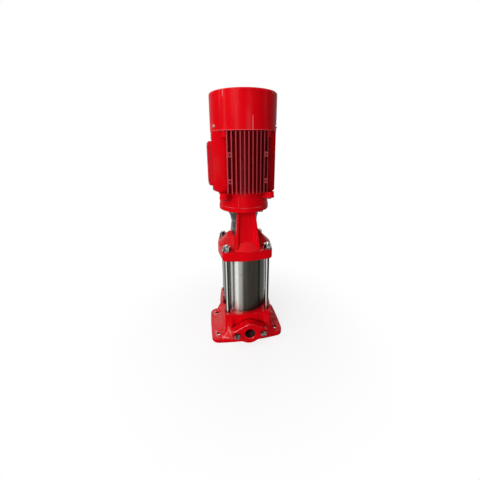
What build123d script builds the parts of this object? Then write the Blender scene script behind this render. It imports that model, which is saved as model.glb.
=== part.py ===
from build123d import *
import os
from math import atan2, cos, degrees, hypot, pi, radians, sin, sqrt, tan

# Vertical multistage centrifugal pump with its motor on top.
# Millimetres. The shaft axis is Z at x = y = 0 and the floor is z = 0.
# The inlet port faces -Y, the outlet port +Y and the terminal box -X.

# Clearances and seats
slip_gap = 0.05
running_gap = 0.08
free_gap = 0.3
cut_past = 1

# Foot of the base casting
foot_end_margin = 22
foot_side_margin = 30
foot_thickness = 14
foot_side_bow = 2
foot_front_bow = 9
foot_corner = 22
foot_edge_round = 2.5
anchor_pitch_x = 180
anchor_pitch_y = 100
anchor_hole = 13

# Base casting
base_height = 98
base_wall = 8
base_floor = 12
body_outside_sleeve = 14
rod_outside_sleeve = 17.87
rod_boss_radius = 13
skirt_wall = 6
skirt_setback = 0.8
skirt_plan_radius = 381
skirt_half_width = 69
skirt_flare = ((88.4, 14), (84.3, 21), (81, 28), (76, 36.6), (69.5, 50))
suction_tube_radius = 30
suction_tube_wall = 6
suction_tube_top = 80
water_way_floor = 20

# Drain plug on a boss at the base's right side
drain_thread = 13
drain_height = 34
drain_boss_radius = 13
drain_boss_rise = 3
drain_head_flats = 17
drain_head_height = 7

# Ports and their oval counter flanges
port_height = 48
port_neck = 3
port_neck_margin = 2
port_bore = 28
port_thread_bore = 30.3
port_flange_thickness = 22
port_flange_radius = 33
port_ear_radius = 14.5
port_bolt_pitch = 78
port_bolt_diameter = 10
port_bolt_flats = 16
port_bolt_head = 7
port_bolt_depth = 16
port_gasket_thickness = 1.5
port_gasket_inset = 2
port_gasket_clearance = 1.5
port_countersink = 2
port_flange_chamfer = 1.5

# Outer sleeve
sleeve_diameter = 130
sleeve_wall = 1.5
sleeve_exposed = 170
sleeve_seat_depth = 8
sleeve_gasket_thickness = 1
spigot_wall = 5

# Stages
stage_count = 6
stage_pitch = 27
water_gap = 9.5
chamber_wall = 1.5
plate_wall = 2
eye_radius = 20
neck_ring_width = 4
impeller_radius = 46
impeller_width = 9
impeller_shroud = 1.2
impeller_blades = 6
impeller_blade_thickness = 1.2
impeller_lift = 3
impeller_blade_start = 15
impeller_blade_sweep = -75
impeller_rim = 1.5
impeller_hub_start = 1
impeller_hub_end = 1
impeller_blade_inset = 0.5
guide_vanes = 6
guide_vane_height = 6.5
guide_vane_start = 27.3
guide_vane_lean = 50
vane_step_count = 4
spacer_radius = 10
bush_outer_radius = 13
bush_height = 6
stack_clearance = 2
discharge_bell_wall = 3
discharge_window_count = 3
discharge_window_half_width = 12
discharge_window_rise = 2
bush_count = 2

# Pump shaft
pump_shaft_diameter = 16
shaft_nut_height = 6
shaft_nut_flats = 22
shaft_chamfer = 1
shaft_end_gap = 2

# Tie rods
rod_diameter = 12
rod_depth = 24
rod_nut_flats = 19
rod_nut_height = 10.8
rod_washer_diameter = 24
rod_washer_thickness = 2.5
rod_end = 3.5

# Pump head with motor stool
head_plate_thickness = 29
head_plate_round = 5
bell_rise = 38
bell_foot_radius = 77.5
bell_foot_drop = 0.5
bell_waist_radius = 53.4
bell_waist_drop = 11.5
bell_shoulder_radius = 49.5
bell_shoulder_drop = 5
bell_top_radius = 44
bell_root = 10
head_ceiling_depth = 7
head_hub_drop = 10
seal_bore_radius = 19
nut_pocket_radius = 23
nut_pocket_slope = 43
stool_height = 152
stool_flange_radius = 70
stool_flange_thickness = 13.5
stool_flange_round = 2
column_top_half_width = 24.5
column_foot_half_width = 36
column_top_face = 50
column_foot_face = 70
column_top_depth = 22
column_foot_depth = 30
column_root = 4
channel_depth = 9
channel_root = 2
channel_mouth_top_half_width = 20.5
channel_mouth_foot_half_width = 29
channel_floor_top_half_width = 17.5
channel_floor_foot_half_width = 20.5
vent_rise = 10
vent_plug_radius = 8
vent_plug_length = 14
vent_rim = 3
vent_recess = 4
vent_passage_radius = 3
vent_rim_margin = 2
vent_rim_chamfer = 0.8
vent_socket_radius = 5
vent_socket_depth = 7
spot_face_margin = 3
spot_face_depth = 14

# Shaft seal
seal_cover_radius = 30
seal_cover_thickness = 8
seal_seat_radius = 17
seal_seat_thickness = 6
seal_rotor_radius = 15
seal_rotor_height = 26
seal_rotor_step = 3
seal_rotor_step_low = 8
seal_rotor_step_high = 6
seal_shaft_gap = 1
seal_cover_chamfer = 1

# Coupling and its guards
coupling_radius = 24
coupling_height = 54
coupling_split = 2
coupling_bolt_diameter = 6
coupling_bolt_flats = 10
coupling_bolt_x = 17
coupling_bolt_inset = 11.88
coupling_bolt_seat = 14.88
coupling_pin_diameter = 5
coupling_pin_wall = 4
coupling_chamfer = 1
coupling_seat_margin = 1.5
coupling_seat_depth = 2
coupling_bolt_head = 5
guard_top_radius = 42
guard_radius = 36.5
guard_taper_start = 32
guard_taper_end = 55
guard_sheet = 1
guard_half_angle = 64
guard_screw_angle = 58
guard_screw_rise = 20
guard_clear_height = 3
guard_bead_radius = 1.2
guard_beads = ((10, 31), (36, 40))
guard_screw_diameter = 5
guard_screw_head = 9
guard_screw_length = 7
guard_screw_head_start = 3
guard_screw_head_gap = 0.35

# Motor flange and end shields
spigot_diameter = 95
spigot_height = 3.5
flange_bolt_circle = 115
flange_bolt_diameter = 8
flange_bolt_flats = 13
flange_bolt_head = 5.3
flange_bolt_count = 4
flange_bolt_angle = 45
flange_bolt_floor = 2
flange_bolt_end = 4
shield_radius = 68.5
shield_depth = 29.5
shield_wall = 5
shield_floor = 12
shield_lug_offset = 60
shield_lug_radius = 13
shield_lug_height = 4
shield_bolt_diameter = 6
shield_bolt_flats = 10
shield_bolt_head = 4
shield_bolt_reach = 9
shield_bolt_clear = 20
shield_shaft_gap = 1
lug_root = 3
bearing_seat_wall = 6
bearing_seat_rise = 1
rear_shield_height = 26
rear_shield_wall = 6
rear_lug_inset = 34
rear_lug_radius = 9
rear_lug_height = 14
rear_seat_foot_wall = 8
rear_seat_slope = 6
rear_seat_rise = 4
cowl_arm_half_width = 6
cowl_arm_root = 5
cowl_arm_rise = 6

# Motor housing
housing_bore = 134
housing_wall = 4
fin_thickness = 2.6
cowl_overhang = 1
fin_root = 6
front_fin_count = 11
front_fin_pitch = 10.2
side_fin_count = 11
side_fin_pitch = 10.8
fin_bottom_gap = 11
foot_boss_width = 9
foot_boss_height = 12
foot_boss_rises = (31.5, 97)
foot_boss_reach = 76
foot_boss_hole = 5
foot_boss_depth = 12

# Fan cowl and fan
cowl_radius = 88
cowl_sheet = 1.5
cowl_height = 91.8
cowl_start_gap = 1.5
cowl_round = 6
cowl_screw_angle = 27
cowl_screw_diameter = 4
cowl_screw_head = 8
cowl_screw_rise = 11
cowl_screw_depth = 12
cowl_screw_gap = 0.2
cowl_screw_proud = 2.8
cowl_screw_round = 1.2
grille_rings = (24, 38, 52, 66)
grille_slot = 7
grille_spokes = 8
grille_spoke_width = 6
grille_cut_depth = 5
fan_radius = 74
fan_hub_radius = 16
fan_blades = 7
fan_blade_thickness = 2.5
fan_blade_height = 26
fan_disc = 2.5
fan_gap = 24
fan_hub_rise = 4
fan_disc_inset = 10
fan_seat_step = 2
fan_clip_space = 2
fan_clip_inset = 4
fan_clip_drop = 0.8

# Motor shaft, rotor and bearings
motor_shaft_diameter = 24
motor_shaft_extension = 50
journal_diameter = 25
bearing_outer = 52
bearing_width = 15
bearing_ball = 7.9
bearing_balls = 9
bearing_race = 5.2
bearing_groove_gap = 0.1
journal_run = 4
journal_end = 2
shaft_shoulder = 3
stator_length = 110
stator_bore = 80
winding_room = 26.25
air_gap = 0.4
winding_height = 20
winding_wall = 16
winding_clearance = 4
winding_round = 3
rotor_ring_height = 8
rotor_ring_inset = 1
rotor_ring_depth = 10

# Terminal box
box_height = 112
box_width = 90
box_face = 90
box_wall = 3
box_rise = 73.5
box_round = 6
lid_thickness = 8.5
lid_chamfer = 6
lid_screw_diameter = 4
lid_screw_head = 7.5
lid_screw_inset = 7.5
lid_screw_boss = 5.5
lid_screw_hole_depth = 9
lid_screw_reach = 8
lid_screw_seat = 3
lid_screw_head_height = 2.5
lid_chamfer_inset = 1
lid_gasket_thickness = 1
box_pad_inset = 4
box_back = 72
box_fin_gap = 2
wire_hole_radius = 15
gland_thread = 12
gland_bore = 7
gland_flats = 14
gland_length = 20
gland_collar = 5
gland_inside = 3
gland_drop = 20
gland_cap_inset = 0.5
gland_round = 2
terminal_block_height = 24
terminal_block_width = 50
terminal_block_depth = 8
terminal_block_drop = 13

# Radii and levels that follow
sleeve_radius = sleeve_diameter / 2
sleeve_inner = sleeve_radius - sleeve_wall
plan_bulge_radius = sleeve_radius + body_outside_sleeve
rod_pitch = sqrt(2) * (sleeve_radius + rod_outside_sleeve)
port_face = plan_bulge_radius + port_neck
drain_face = plan_bulge_radius + drain_boss_rise
head_bottom = base_height + sleeve_exposed
head_top = head_bottom + stool_height
plate_top = head_bottom + head_plate_thickness
bell_top = plate_top + bell_rise
ceiling = head_bottom + head_ceiling_depth
vent_level = ceiling + vent_rise
sleeve_bottom = base_height - sleeve_seat_depth + sleeve_gasket_thickness
sleeve_top = head_bottom + sleeve_seat_depth - sleeve_gasket_thickness
foot_length = anchor_pitch_x + 2 * foot_end_margin
foot_width = anchor_pitch_y + 2 * foot_side_margin
fin_radius = cowl_radius - cowl_overhang
rear_lug_offset = cowl_radius - rear_lug_inset
stack_bottom = suction_tube_top + plate_wall + stack_clearance
stack_top = stack_bottom + stage_count * stage_pitch
chamber_radius = sleeve_inner - water_gap
annulus_radius = sleeve_inner - spigot_wall
hub_top = bell_top - head_hub_drop
flange_bottom = head_top - stool_flange_thickness
guard_low = hub_top + free_gap
guard_high = flange_bottom - guard_clear_height
seal_cover_top = hub_top + seal_cover_thickness
shield_top = head_top + shield_depth
housing_top = shield_top + stator_length + 2 * winding_room
fin_bottom = shield_top + fin_bottom_gap
rear_shield_top = housing_top + rear_shield_height
cowl_bottom = housing_top + cowl_start_gap
cowl_top = cowl_bottom + cowl_height
stator_bottom = (shield_top + housing_top) / 2 - stator_length / 2
stator_top = stator_bottom + stator_length
rod_top = plate_top + rod_washer_thickness + rod_nut_height + rod_end
motor_shaft_bottom = head_top - motor_shaft_extension
shaft_meet = motor_shaft_bottom - shaft_end_gap
coupling_bottom = shaft_meet - coupling_height / 2
coupling_top = coupling_bottom + coupling_height
bearing_low = shield_top - bearing_width
bearing_high = housing_top + rear_shield_wall
housing_radius = housing_bore / 2 + housing_wall
port_flange_face = port_face + port_gasket_thickness + port_flange_thickness
foot_boss_levels = [fin_bottom + rise for rise in foot_boss_rises]
box_centre_height = fin_bottom + box_rise
box_low = box_centre_height - box_height / 2
box_high = box_centre_height + box_height / 2
fan_bottom = rear_shield_top + fan_gap / 2
fan_top = fan_bottom + fan_blade_height + fan_hub_rise


# Small building blocks

def cylinder(radius, bottom, top, x=0, y=0):
    """Upright cylinder between two levels."""
    return Pos(x, y, bottom) * extrude(Circle(radius), top - bottom)


def tube(outer, inner, bottom, top, x=0, y=0):
    """Upright tube between two levels."""
    section = Circle(outer) - Circle(inner)
    return Pos(x, y, bottom) * extrude(section, top - bottom)


def turned(points):
    """Solid turned about Z from a closed outline of (radius, height) points."""
    outline = make_face(Polyline(*[(r, 0, z) for r, z in points], close=True))
    return revolve(outline, Axis.Z)


def across(radius, start, end, axis_x, axis_z):
    """Cylinder along Y from one y to another."""
    plane = Plane(origin=(axis_x, start, axis_z), z_dir=(0, 1, 0))
    return extrude(plane * Circle(radius), end - start)


def along_x(radius, start, end, axis_y, axis_z):
    """Cylinder along X from one x to another."""
    plane = Plane(origin=(start, axis_y, axis_z), z_dir=(1, 0, 0))
    return extrude(plane * Circle(radius), end - start)


def hexagon(flats, bottom, top, x=0, y=0):
    """Upright hexagon prism given across its flats."""
    return Pos(x, y, bottom) * extrude(RegularPolygon(flats / 2, 6, major_radius=False), top - bottom)


def corners(pitch_x, pitch_y):
    """The four corner places of a rectangle."""
    return [(sx * pitch_x / 2, sy * pitch_y / 2) for sx in (-1, 1) for sy in (-1, 1)]


def circle_places(radius, count, start=0):
    """Evenly spaced places on a circle."""
    angles = [radians(start + 360 * n / count) for n in range(count)]
    return [(radius * cos(a), radius * sin(a)) for a in angles]


def block(x0, x1, y0, y1, z0, z1):
    """Box between two corners."""
    centre = Pos((x0 + x1) / 2, (y0 + y1) / 2, (z0 + z1) / 2)
    return centre * Box(abs(x1 - x0), abs(y1 - y0), abs(z1 - z0))


def both_ends(shape):
    """The shape and its copy turned half round the shaft."""
    return [shape, Rot(0, 0, 180) * shape]


def join(*shapes):
    """One solid from pieces that touch or overlap, fused in one operation."""
    return shapes[0].fuse(*shapes[1:])


def save(name, *solids):
    """Write one sub-part, one solid or a group of separate solids."""
    bodies = [s for shape in solids for s in shape.solids()]
    shape = bodies[0] if len(bodies) == 1 else Compound(bodies)
    export_step(shape, "parts/" + name + ".step")


def bulged_plan():
    """Outline shared by the base and the head: a bulged square round four rod bosses."""
    rounds = [Pos(x, y) * Circle(rod_boss_radius) for x, y in corners(rod_pitch, rod_pitch)]
    edges = Circle(plan_bulge_radius).edges()
    for disc in rounds:
        edges += disc.edges()
    return make_hull(edges)


def oval_plan(ear_pitch, centre_radius, ear_radius):
    """Oval flange outline: a round middle drawn out to two ears."""
    edges = Circle(centre_radius).edges()
    for side in (-1, 1):
        edges += (Pos(side * ear_pitch / 2, 0) * Circle(ear_radius)).edges()
    return make_hull(edges)


def oval_slab(start, end, centre_radius, ear_radius):
    """Oval flange standing on the port axis between two distances towards -Y."""
    plane = Plane(origin=(0, -start, port_height), x_dir=(1, 0, 0), z_dir=(0, -1, 0))
    return extrude(plane * oval_plan(port_bolt_pitch, centre_radius, ear_radius), end - start)


# Base

def foot_plan():
    """Outline of the foot: four bowed sides between rounded corners."""
    end_x = foot_length / 2
    end_y = foot_width / 2
    x = end_x - foot_side_bow
    y = end_y - foot_front_bow
    outline = make_face(
        ThreePointArc((-x, -y), (0, -end_y), (x, -y))
        + ThreePointArc((x, -y), (end_x, 0), (x, y))
        + ThreePointArc((x, y), (0, end_y), (-x, y))
        + ThreePointArc((-x, y), (-end_x, 0), (-x, -y))
    )
    return fillet(outline.vertices(), foot_corner)


def skirt():
    """Bowed plate in front of the body, which spreads out towards the foot."""
    right = [(skirt_flare[0][0], foot_thickness / 2)] + list(skirt_flare)
    left = [(-x, z) for x, z in reversed(right)]
    shape = make_face(
        Line(right[0], right[1])
        + Spline(*right[1:])
        + Polyline(right[-1], (skirt_half_width, base_height), (-skirt_half_width, base_height), left[0])
        + Spline(*left[:-1])
        + Line(left[-2], left[-1])
        + Line(left[-1], right[0])
    )
    back = Plane(origin=(0, -sleeve_radius, 0), x_dir=(1, 0, 0), z_dir=(0, -1, 0))
    plate = extrude(back * shape, foot_width / 2 - sleeve_radius)
    centre = skirt_plan_radius - foot_width / 2 + skirt_setback
    bow = tube(skirt_plan_radius, skirt_plan_radius - skirt_wall, 0, base_height, 0, centre)
    return plate & bow


def base_casting():
    """Foot, body, two ports and the water ways inside."""
    foot = extrude(foot_plan(), foot_thickness)
    foot = fillet(foot.faces().sort_by(Axis.Z)[-1].outer_wire().edges(), foot_edge_round)
    body = extrude(bulged_plan(), base_height)
    necks = oval_slab(0, port_face, port_flange_radius + port_neck_margin, port_ear_radius + 1)
    boss = along_x(drain_boss_radius, sleeve_radius, drain_face, 0, drain_height)
    solid = foot + body + both_ends(skirt()) + both_ends(necks) + boss

    tube_outer = suction_tube_radius + suction_tube_wall
    annulus = tube(annulus_radius, tube_outer, water_way_floor, base_height)
    suction = cylinder(suction_tube_radius, base_floor, suction_tube_top)
    throat = cylinder(tube_outer + 1, suction_tube_top, base_height)
    solid = solid - annulus - throat
    inlet_tube = across(port_bore / 2 + base_wall / 2, -annulus_radius - 2, 0, 0, port_height)
    solid = solid + inlet_tube - suction
    solid = solid - across(port_bore / 2, -port_face - 1, 0, 0, port_height)
    solid = solid - across(port_bore / 2, tube_outer + 1, port_face + 1, 0, port_height)

    seat_outer = sleeve_radius + 2 * running_gap
    groove = tube(seat_outer, sleeve_inner - 2 * running_gap, base_height - sleeve_seat_depth, base_height)
    rods = [
        cylinder(rod_diameter / 2 + slip_gap, base_height - rod_depth, base_height, x, y)
        for x, y in corners(rod_pitch, rod_pitch)
    ]
    anchors = [
        cylinder(anchor_hole / 2, 0, base_height, x, y) for x, y in corners(anchor_pitch_x, anchor_pitch_y)
    ]
    bolts = [
        both_ends(across(port_bolt_diameter / 2 + slip_gap, -port_face, port_bolt_depth - port_face, x,
                         port_height))
        for x in (-port_bolt_pitch / 2, port_bolt_pitch / 2)
    ]
    drain = along_x(drain_thread / 2, annulus_radius - 2, drain_face + 1, 0, drain_height)
    solid = solid - groove - rods - anchors - bolts[0] - bolts[1] - drain
    save("base_casting", solid)


def drain_plug():
    """Hexagon plug closing the drain hole of the discharge chamber."""
    shank = along_x(drain_thread / 2 - slip_gap, annulus_radius, drain_face, 0, drain_height)
    head = Plane(origin=(drain_face, 0, drain_height), z_dir=(1, 0, 0)) * RegularPolygon(
        drain_head_flats / 2, 6, major_radius=False)
    save("drain_plug", shank + extrude(head, drain_head_height))


def ports():
    """Counter flange, gasket and two bolts on each port."""
    start = port_face + port_gasket_thickness
    flange = oval_slab(start, port_flange_face, port_flange_radius, port_ear_radius)
    flange = chamfer(flange.faces().sort_by(Axis.Y)[0].outer_wire().edges(),
                     port_flange_chamfer)
    bore = across(port_thread_bore / 2, -port_flange_face - cut_past, -start + cut_past, 0, port_height)
    mouth = Plane(origin=(0, -port_flange_face, port_height), z_dir=(0, 1, 0))
    countersink = loft([mouth * Circle(port_thread_bore / 2 + port_countersink),
                        mouth.offset(port_countersink) * Circle(port_thread_bore / 2)])
    gasket = oval_slab(port_face, start, port_flange_radius - port_gasket_inset,
                       port_ear_radius - port_gasket_inset)
    gasket_bore = port_thread_bore / 2 + port_gasket_clearance
    gasket = gasket - across(gasket_bore, -start - cut_past, -port_face + cut_past, 0, port_height)
    bolt_ring = []
    for x in (-port_bolt_pitch / 2, port_bolt_pitch / 2):
        hole = across(port_bolt_diameter / 2 + free_gap, -port_flange_face - cut_past,
                      -port_face + cut_past, x, port_height)
        flange = flange - hole
        gasket = gasket - hole
        shank = across(port_bolt_diameter / 2, -port_flange_face, -port_face + port_bolt_depth, x,
                       port_height)
        face = Plane(origin=(x, -port_flange_face, port_height), z_dir=(0, -1, 0))
        head = extrude(face * RegularPolygon(port_bolt_flats / 2, 6, major_radius=False), port_bolt_head)
        bolt_ring.append(shank + head)
    flange = flange - bore - countersink
    save("inlet_flange", flange)
    save("outlet_flange", Rot(0, 0, 180) * flange)
    save("port_gaskets", *both_ends(gasket))
    save("port_flange_bolts", *[b for bolt in bolt_ring for b in both_ends(bolt)])


# Sleeve and tie rods

def sleeve():
    """Outer sleeve and the flat gaskets it seats on."""
    save("outer_sleeve", tube(sleeve_radius, sleeve_inner, sleeve_bottom, sleeve_top))
    low = sleeve_bottom - sleeve_gasket_thickness
    rings = [
        tube(sleeve_radius, sleeve_inner, low, sleeve_bottom),
        tube(sleeve_radius, sleeve_inner, sleeve_top, sleeve_top + sleeve_gasket_thickness),
    ]
    save("sleeve_gaskets", *rings)


def tie_rods():
    """Four rods that pull the head down on the base, with washers and nuts."""
    places = corners(rod_pitch, rod_pitch)
    washer_top = plate_top + rod_washer_thickness
    rods = [cylinder(rod_diameter / 2, base_height - rod_depth, rod_top, x, y) for x, y in places]
    rods = [chamfer(rod.edges().sort_by(Axis.Z)[-1], 1) for rod in rods]
    save("tie_rods", *rods)
    washers = [
        tube(rod_washer_diameter / 2, rod_diameter / 2 + slip_gap, plate_top, washer_top, x, y)
        for x, y in places
    ]
    save("rod_washers", *washers)
    nuts = []
    for x, y in places:
        nut = hexagon(rod_nut_flats, washer_top, washer_top + rod_nut_height, x, y)
        crown = rod_nut_flats / 2 / cos(pi / 6)
        cone = Pos(x, y, washer_top) * Cone(
            crown + rod_nut_height, crown - 1, rod_nut_height, align=(Align.CENTER, Align.CENTER, Align.MIN))
        nut = nut & cone
        nuts.append(nut - cylinder(rod_diameter / 2 + slip_gap, plate_top, rod_top, x, y))
    save("rod_nuts", *nuts)


# Stages

def curved_vane(inner_radius, outer_radius, thickness, bottom, top, lean):
    """Upright vane of even thickness that leans round by an angle between two radii."""
    points = []
    for step in range(vane_step_count + 1):
        share = step / vane_step_count
        radius = inner_radius + (outer_radius - inner_radius) * share
        angle = radians(lean) * share
        points.append((radius * cos(angle), radius * sin(angle)))
    strip = trace(Spline(*points), thickness)
    return Pos(0, 0, bottom) * extrude(strip, top - bottom)


def stages():
    """Suction plate, chambers with guide vanes, neck rings and shaft bushes."""
    hole = eye_radius + free_gap + neck_ring_width
    suction_plate = tube(chamber_radius, hole, suction_tube_top, stack_bottom)
    save("suction_plate", suction_plate)

    closure = stage_pitch - plate_wall
    vane_bottom = closure - guide_vane_height
    partition = vane_bottom - chamber_wall
    wall = tube(chamber_radius, chamber_radius - chamber_wall, 0, stage_pitch)
    closing_plate = tube(chamber_radius, hole, closure, stage_pitch)
    guide_plate = tube(impeller_radius, bush_outer_radius, partition, vane_bottom)
    vane = curved_vane(guide_vane_start, chamber_radius - chamber_wall / 2, chamber_wall, vane_bottom,
                       closure, guide_vane_lean)
    vanes = [Rot(0, 0, 360 * n / guide_vanes) * vane for n in range(guide_vanes)]
    chamber = join(wall, closing_plate, guide_plate, *vanes)
    levels = [stack_bottom + n * stage_pitch for n in range(stage_count)]
    save("stage_chambers", *[Pos(0, 0, level) * chamber for level in levels])

    ring = tube(hole - slip_gap, eye_radius + free_gap, -plate_wall, 0)
    save("neck_rings", *[Pos(0, 0, level) * ring for level in levels])
    bush = tube(bush_outer_radius - slip_gap, spacer_radius + running_gap, partition - 1,
                partition - 1 + bush_height)
    bushed = [int((n + 0.5) * stage_count / bush_count) for n in range(bush_count)]
    save("shaft_bushes", *[Pos(0, 0, levels[n]) * bush for n in bushed])

    bell = tube(chamber_radius, chamber_radius - discharge_bell_wall, stack_top, ceiling)
    bell = bell + tube(chamber_radius, hole, stack_top, stack_top + plate_wall)
    window_height = (ceiling - stack_top) / 2
    window_middle = (ceiling + stack_top) / 2 + discharge_window_rise
    reach = chamber_radius + cut_past
    for n in range(discharge_window_count):
        window = block(-reach, reach, -discharge_window_half_width, discharge_window_half_width,
                       window_middle - window_height / 2, window_middle + window_height / 2)
        bell = bell - Rot(0, 0, 180 * n / discharge_window_count) * window
    save("discharge_bell", bell)


def impellers():
    """Shrouded impellers with swept blades, spacers between them and the end nut."""
    shaft_hole = pump_shaft_diameter / 2 + slip_gap
    front = impeller_lift
    back = front + impeller_shroud + impeller_width
    front_shroud = tube(impeller_radius, eye_radius - impeller_rim, front, front + impeller_shroud)
    neck = tube(eye_radius, eye_radius - impeller_rim, -plate_wall, front + impeller_shroud)
    back_shroud = tube(impeller_radius, shaft_hole, back, back + impeller_shroud)
    top_of_hub = back + impeller_shroud + impeller_hub_end
    hub = tube(spacer_radius, shaft_hole, impeller_hub_start, top_of_hub)
    blade = curved_vane(impeller_blade_start, impeller_radius - impeller_blade_inset, impeller_blade_thickness,
                        front + impeller_shroud, back, impeller_blade_sweep)
    blades = [Rot(0, 0, 360 * n / impeller_blades) * blade for n in range(impeller_blades)]
    wheel = join(front_shroud, neck, back_shroud, hub, *blades)
    levels = [stack_bottom + n * stage_pitch for n in range(stage_count)]
    save("impellers", *[Pos(0, 0, level) * wheel for level in levels])

    gap_tube = tube(spacer_radius, shaft_hole, top_of_hub, stage_pitch + impeller_hub_start)
    save("shaft_spacers", *[Pos(0, 0, level) * gap_tube for level in levels])
    nut_top = stack_bottom + impeller_hub_start
    nut = hexagon(shaft_nut_flats, nut_top - shaft_nut_height, nut_top)
    save("shaft_nut", nut - cylinder(shaft_hole, nut_top - shaft_nut_height, nut_top))


def shafts():
    """Pump shaft and the motor shaft with its bearing seats."""
    low = stack_bottom - shaft_nut_height
    rod = cylinder(pump_shaft_diameter / 2, low, shaft_meet)
    rod = chamfer(rod.edges().group_by(Axis.Z)[0], shaft_chamfer)
    save("pump_shaft", rod)

    bottom = motor_shaft_bottom
    journal = journal_diameter / 2
    journal_top = bearing_high + bearing_width + journal_end
    fan_seat = motor_shaft_diameter / 2 - fan_seat_step
    body = turned([
        (0, bottom), (motor_shaft_diameter / 2, bottom), (motor_shaft_diameter / 2, bearing_low - journal_run),
        (journal, bearing_low - journal_run), (journal, bearing_low + bearing_width),
        (journal + shaft_shoulder, bearing_low + bearing_width), (journal + shaft_shoulder, bearing_high),
        (journal, bearing_high), (journal, journal_top), (fan_seat, journal_top), (fan_seat, fan_top),
        (0, fan_top),
    ])
    save("motor_shaft", body)


# Shaft seal

def shaft_seal():
    """Seal cover on the hub, the still seat in it and the turning part below."""
    seat_bottom = hub_top - seal_seat_thickness / 2
    cover = tube(seal_cover_radius, pump_shaft_diameter / 2 + seal_shaft_gap, hub_top, seal_cover_top)
    cover = cover - cylinder(seal_seat_radius + slip_gap, hub_top, hub_top + seal_seat_thickness / 2)
    cover = chamfer(cover.edges().group_by(Axis.Z)[-1], seal_cover_chamfer)
    save("seal_cover", cover)
    seat = tube(seal_seat_radius, pump_shaft_diameter / 2 + seal_shaft_gap, seat_bottom,
                hub_top + seal_seat_thickness / 2)
    save("seal_seat", seat)
    top = seat_bottom - running_gap
    bore = pump_shaft_diameter / 2 + slip_gap
    carrier = turned([
        (bore, top - seal_rotor_height), (seal_rotor_radius, top - seal_rotor_height),
        (seal_rotor_radius, top - seal_rotor_step_low),
        (seal_rotor_radius - seal_rotor_step, top - seal_rotor_step_high),
        (seal_rotor_radius - seal_rotor_step, top), (bore, top),
    ])
    save("seal_rotor", carrier)


# Pump head

def column():
    """Channel column of the motor stool on the -Y side, from the plate to the flange."""
    foot_level = plate_top - column_root

    def section(half_width, face, depth, level):
        outline = Rectangle(2 * half_width, depth, align=(Align.CENTER, Align.MIN))
        return Plane(origin=(0, -face, level)) * outline

    def channel_section(mouth, floor, face, level):
        outline = Polyline((-mouth, -1), (mouth, -1), (floor, channel_depth), (-floor, channel_depth),
                           close=True)
        return Plane(origin=(0, -face, level)) * make_face(outline)

    solid = loft([
        section(column_foot_half_width, column_foot_face, column_foot_depth, foot_level),
        section(column_top_half_width, column_top_face, column_top_depth, flange_bottom),
    ])
    channel = loft([
        channel_section(channel_mouth_foot_half_width, channel_floor_foot_half_width, column_foot_face,
                        plate_top + channel_root),
        channel_section(channel_mouth_top_half_width, channel_floor_top_half_width, column_top_face,
                        flange_bottom + 1),
    ])
    return solid - channel


def guard_space():
    """Round room for the coupling above the hub, wider towards the top."""
    return turned([
        (0, hub_top), (guard_radius, hub_top), (guard_radius, bell_top + guard_taper_start),
        (guard_top_radius, bell_top + guard_taper_end), (guard_top_radius, flange_bottom), (0, flange_bottom),
    ])


def pump_head():
    """Bell shaped head with four nut pockets, the stool's columns and its top flange."""
    plate = extrude(bulged_plan(), head_plate_thickness)
    plate = fillet(plate.faces().sort_by(Axis.Z)[0].outer_wire().edges(), head_plate_round)
    plate = Pos(0, 0, head_bottom) * plate
    bell = turned([
        (0, plate_top - bell_root), (bell_foot_radius, plate_top - bell_root),
        (bell_foot_radius, plate_top - bell_foot_drop), (bell_waist_radius, bell_top - bell_waist_drop),
        (bell_shoulder_radius, bell_top - bell_shoulder_drop), (bell_top_radius, bell_top), (0, bell_top),
    ])
    reach = bell_rise + 2
    wide = nut_pocket_radius + reach * tan(radians(nut_pocket_slope))
    pocket = Pos(0, 0, plate_top) * Cone(
        nut_pocket_radius, wide, reach, align=(Align.CENTER, Align.CENTER, Align.MIN))
    pockets = [Pos(x, y) * pocket for x, y in corners(rod_pitch, rod_pitch)]
    solid = plate + (bell - pockets)
    solid = solid + both_ends(column())
    flange = cylinder(stool_flange_radius, flange_bottom, head_top)
    flange = fillet(flange.edges().group_by(Axis.Z)[0], stool_flange_round)
    solid = solid + flange

    spigot_bore = cylinder(spigot_diameter / 2 + slip_gap, flange_bottom - 1, head_top)
    solid = solid - guard_space() - spigot_bore
    underside = cylinder(annulus_radius, head_bottom, ceiling)
    seat_outer = sleeve_radius + 2 * running_gap
    groove = tube(seat_outer, sleeve_inner - 2 * running_gap, head_bottom, head_bottom + sleeve_seat_depth)
    seal_bore = cylinder(seal_bore_radius, head_bottom, hub_top)
    solid = solid - underside - groove - seal_bore
    rods = [
        cylinder(rod_diameter / 2 + free_gap, head_bottom, plate_top + 1, x, y)
        for x, y in corners(rod_pitch, rod_pitch)
    ]
    bolt_places = circle_places(flange_bolt_circle / 2, flange_bolt_count, flange_bolt_angle)
    bolts = [
        cylinder(flange_bolt_diameter / 2 + free_gap, flange_bottom - 1, head_top, x, y)
        for x, y in bolt_places
    ]
    spot_faces = [
        cylinder(flange_bolt_flats / 2 + spot_face_margin, flange_bottom - flange_bolt_head - spot_face_depth,
                 flange_bottom, x, y)
        for x, y in bolt_places
    ]
    outside = plan_bulge_radius + 1
    plug_end = plan_bulge_radius - vent_plug_length
    vent = join(
        across(vent_plug_radius + slip_gap, plug_end, outside, 0, vent_level),
        across(vent_plug_radius + vent_rim, plan_bulge_radius - vent_recess, outside, 0, vent_level),
        across(vent_passage_radius, 0, plug_end + 1, 0, vent_level),
    )
    solid = solid - rods - bolts - spot_faces - vent
    screw_end = guard_radius + guard_screw_length + 1
    solid = solid - guard_screws_at(guard_screw_diameter / 2, guard_radius - 3, screw_end)
    save("pump_head", solid)


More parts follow.
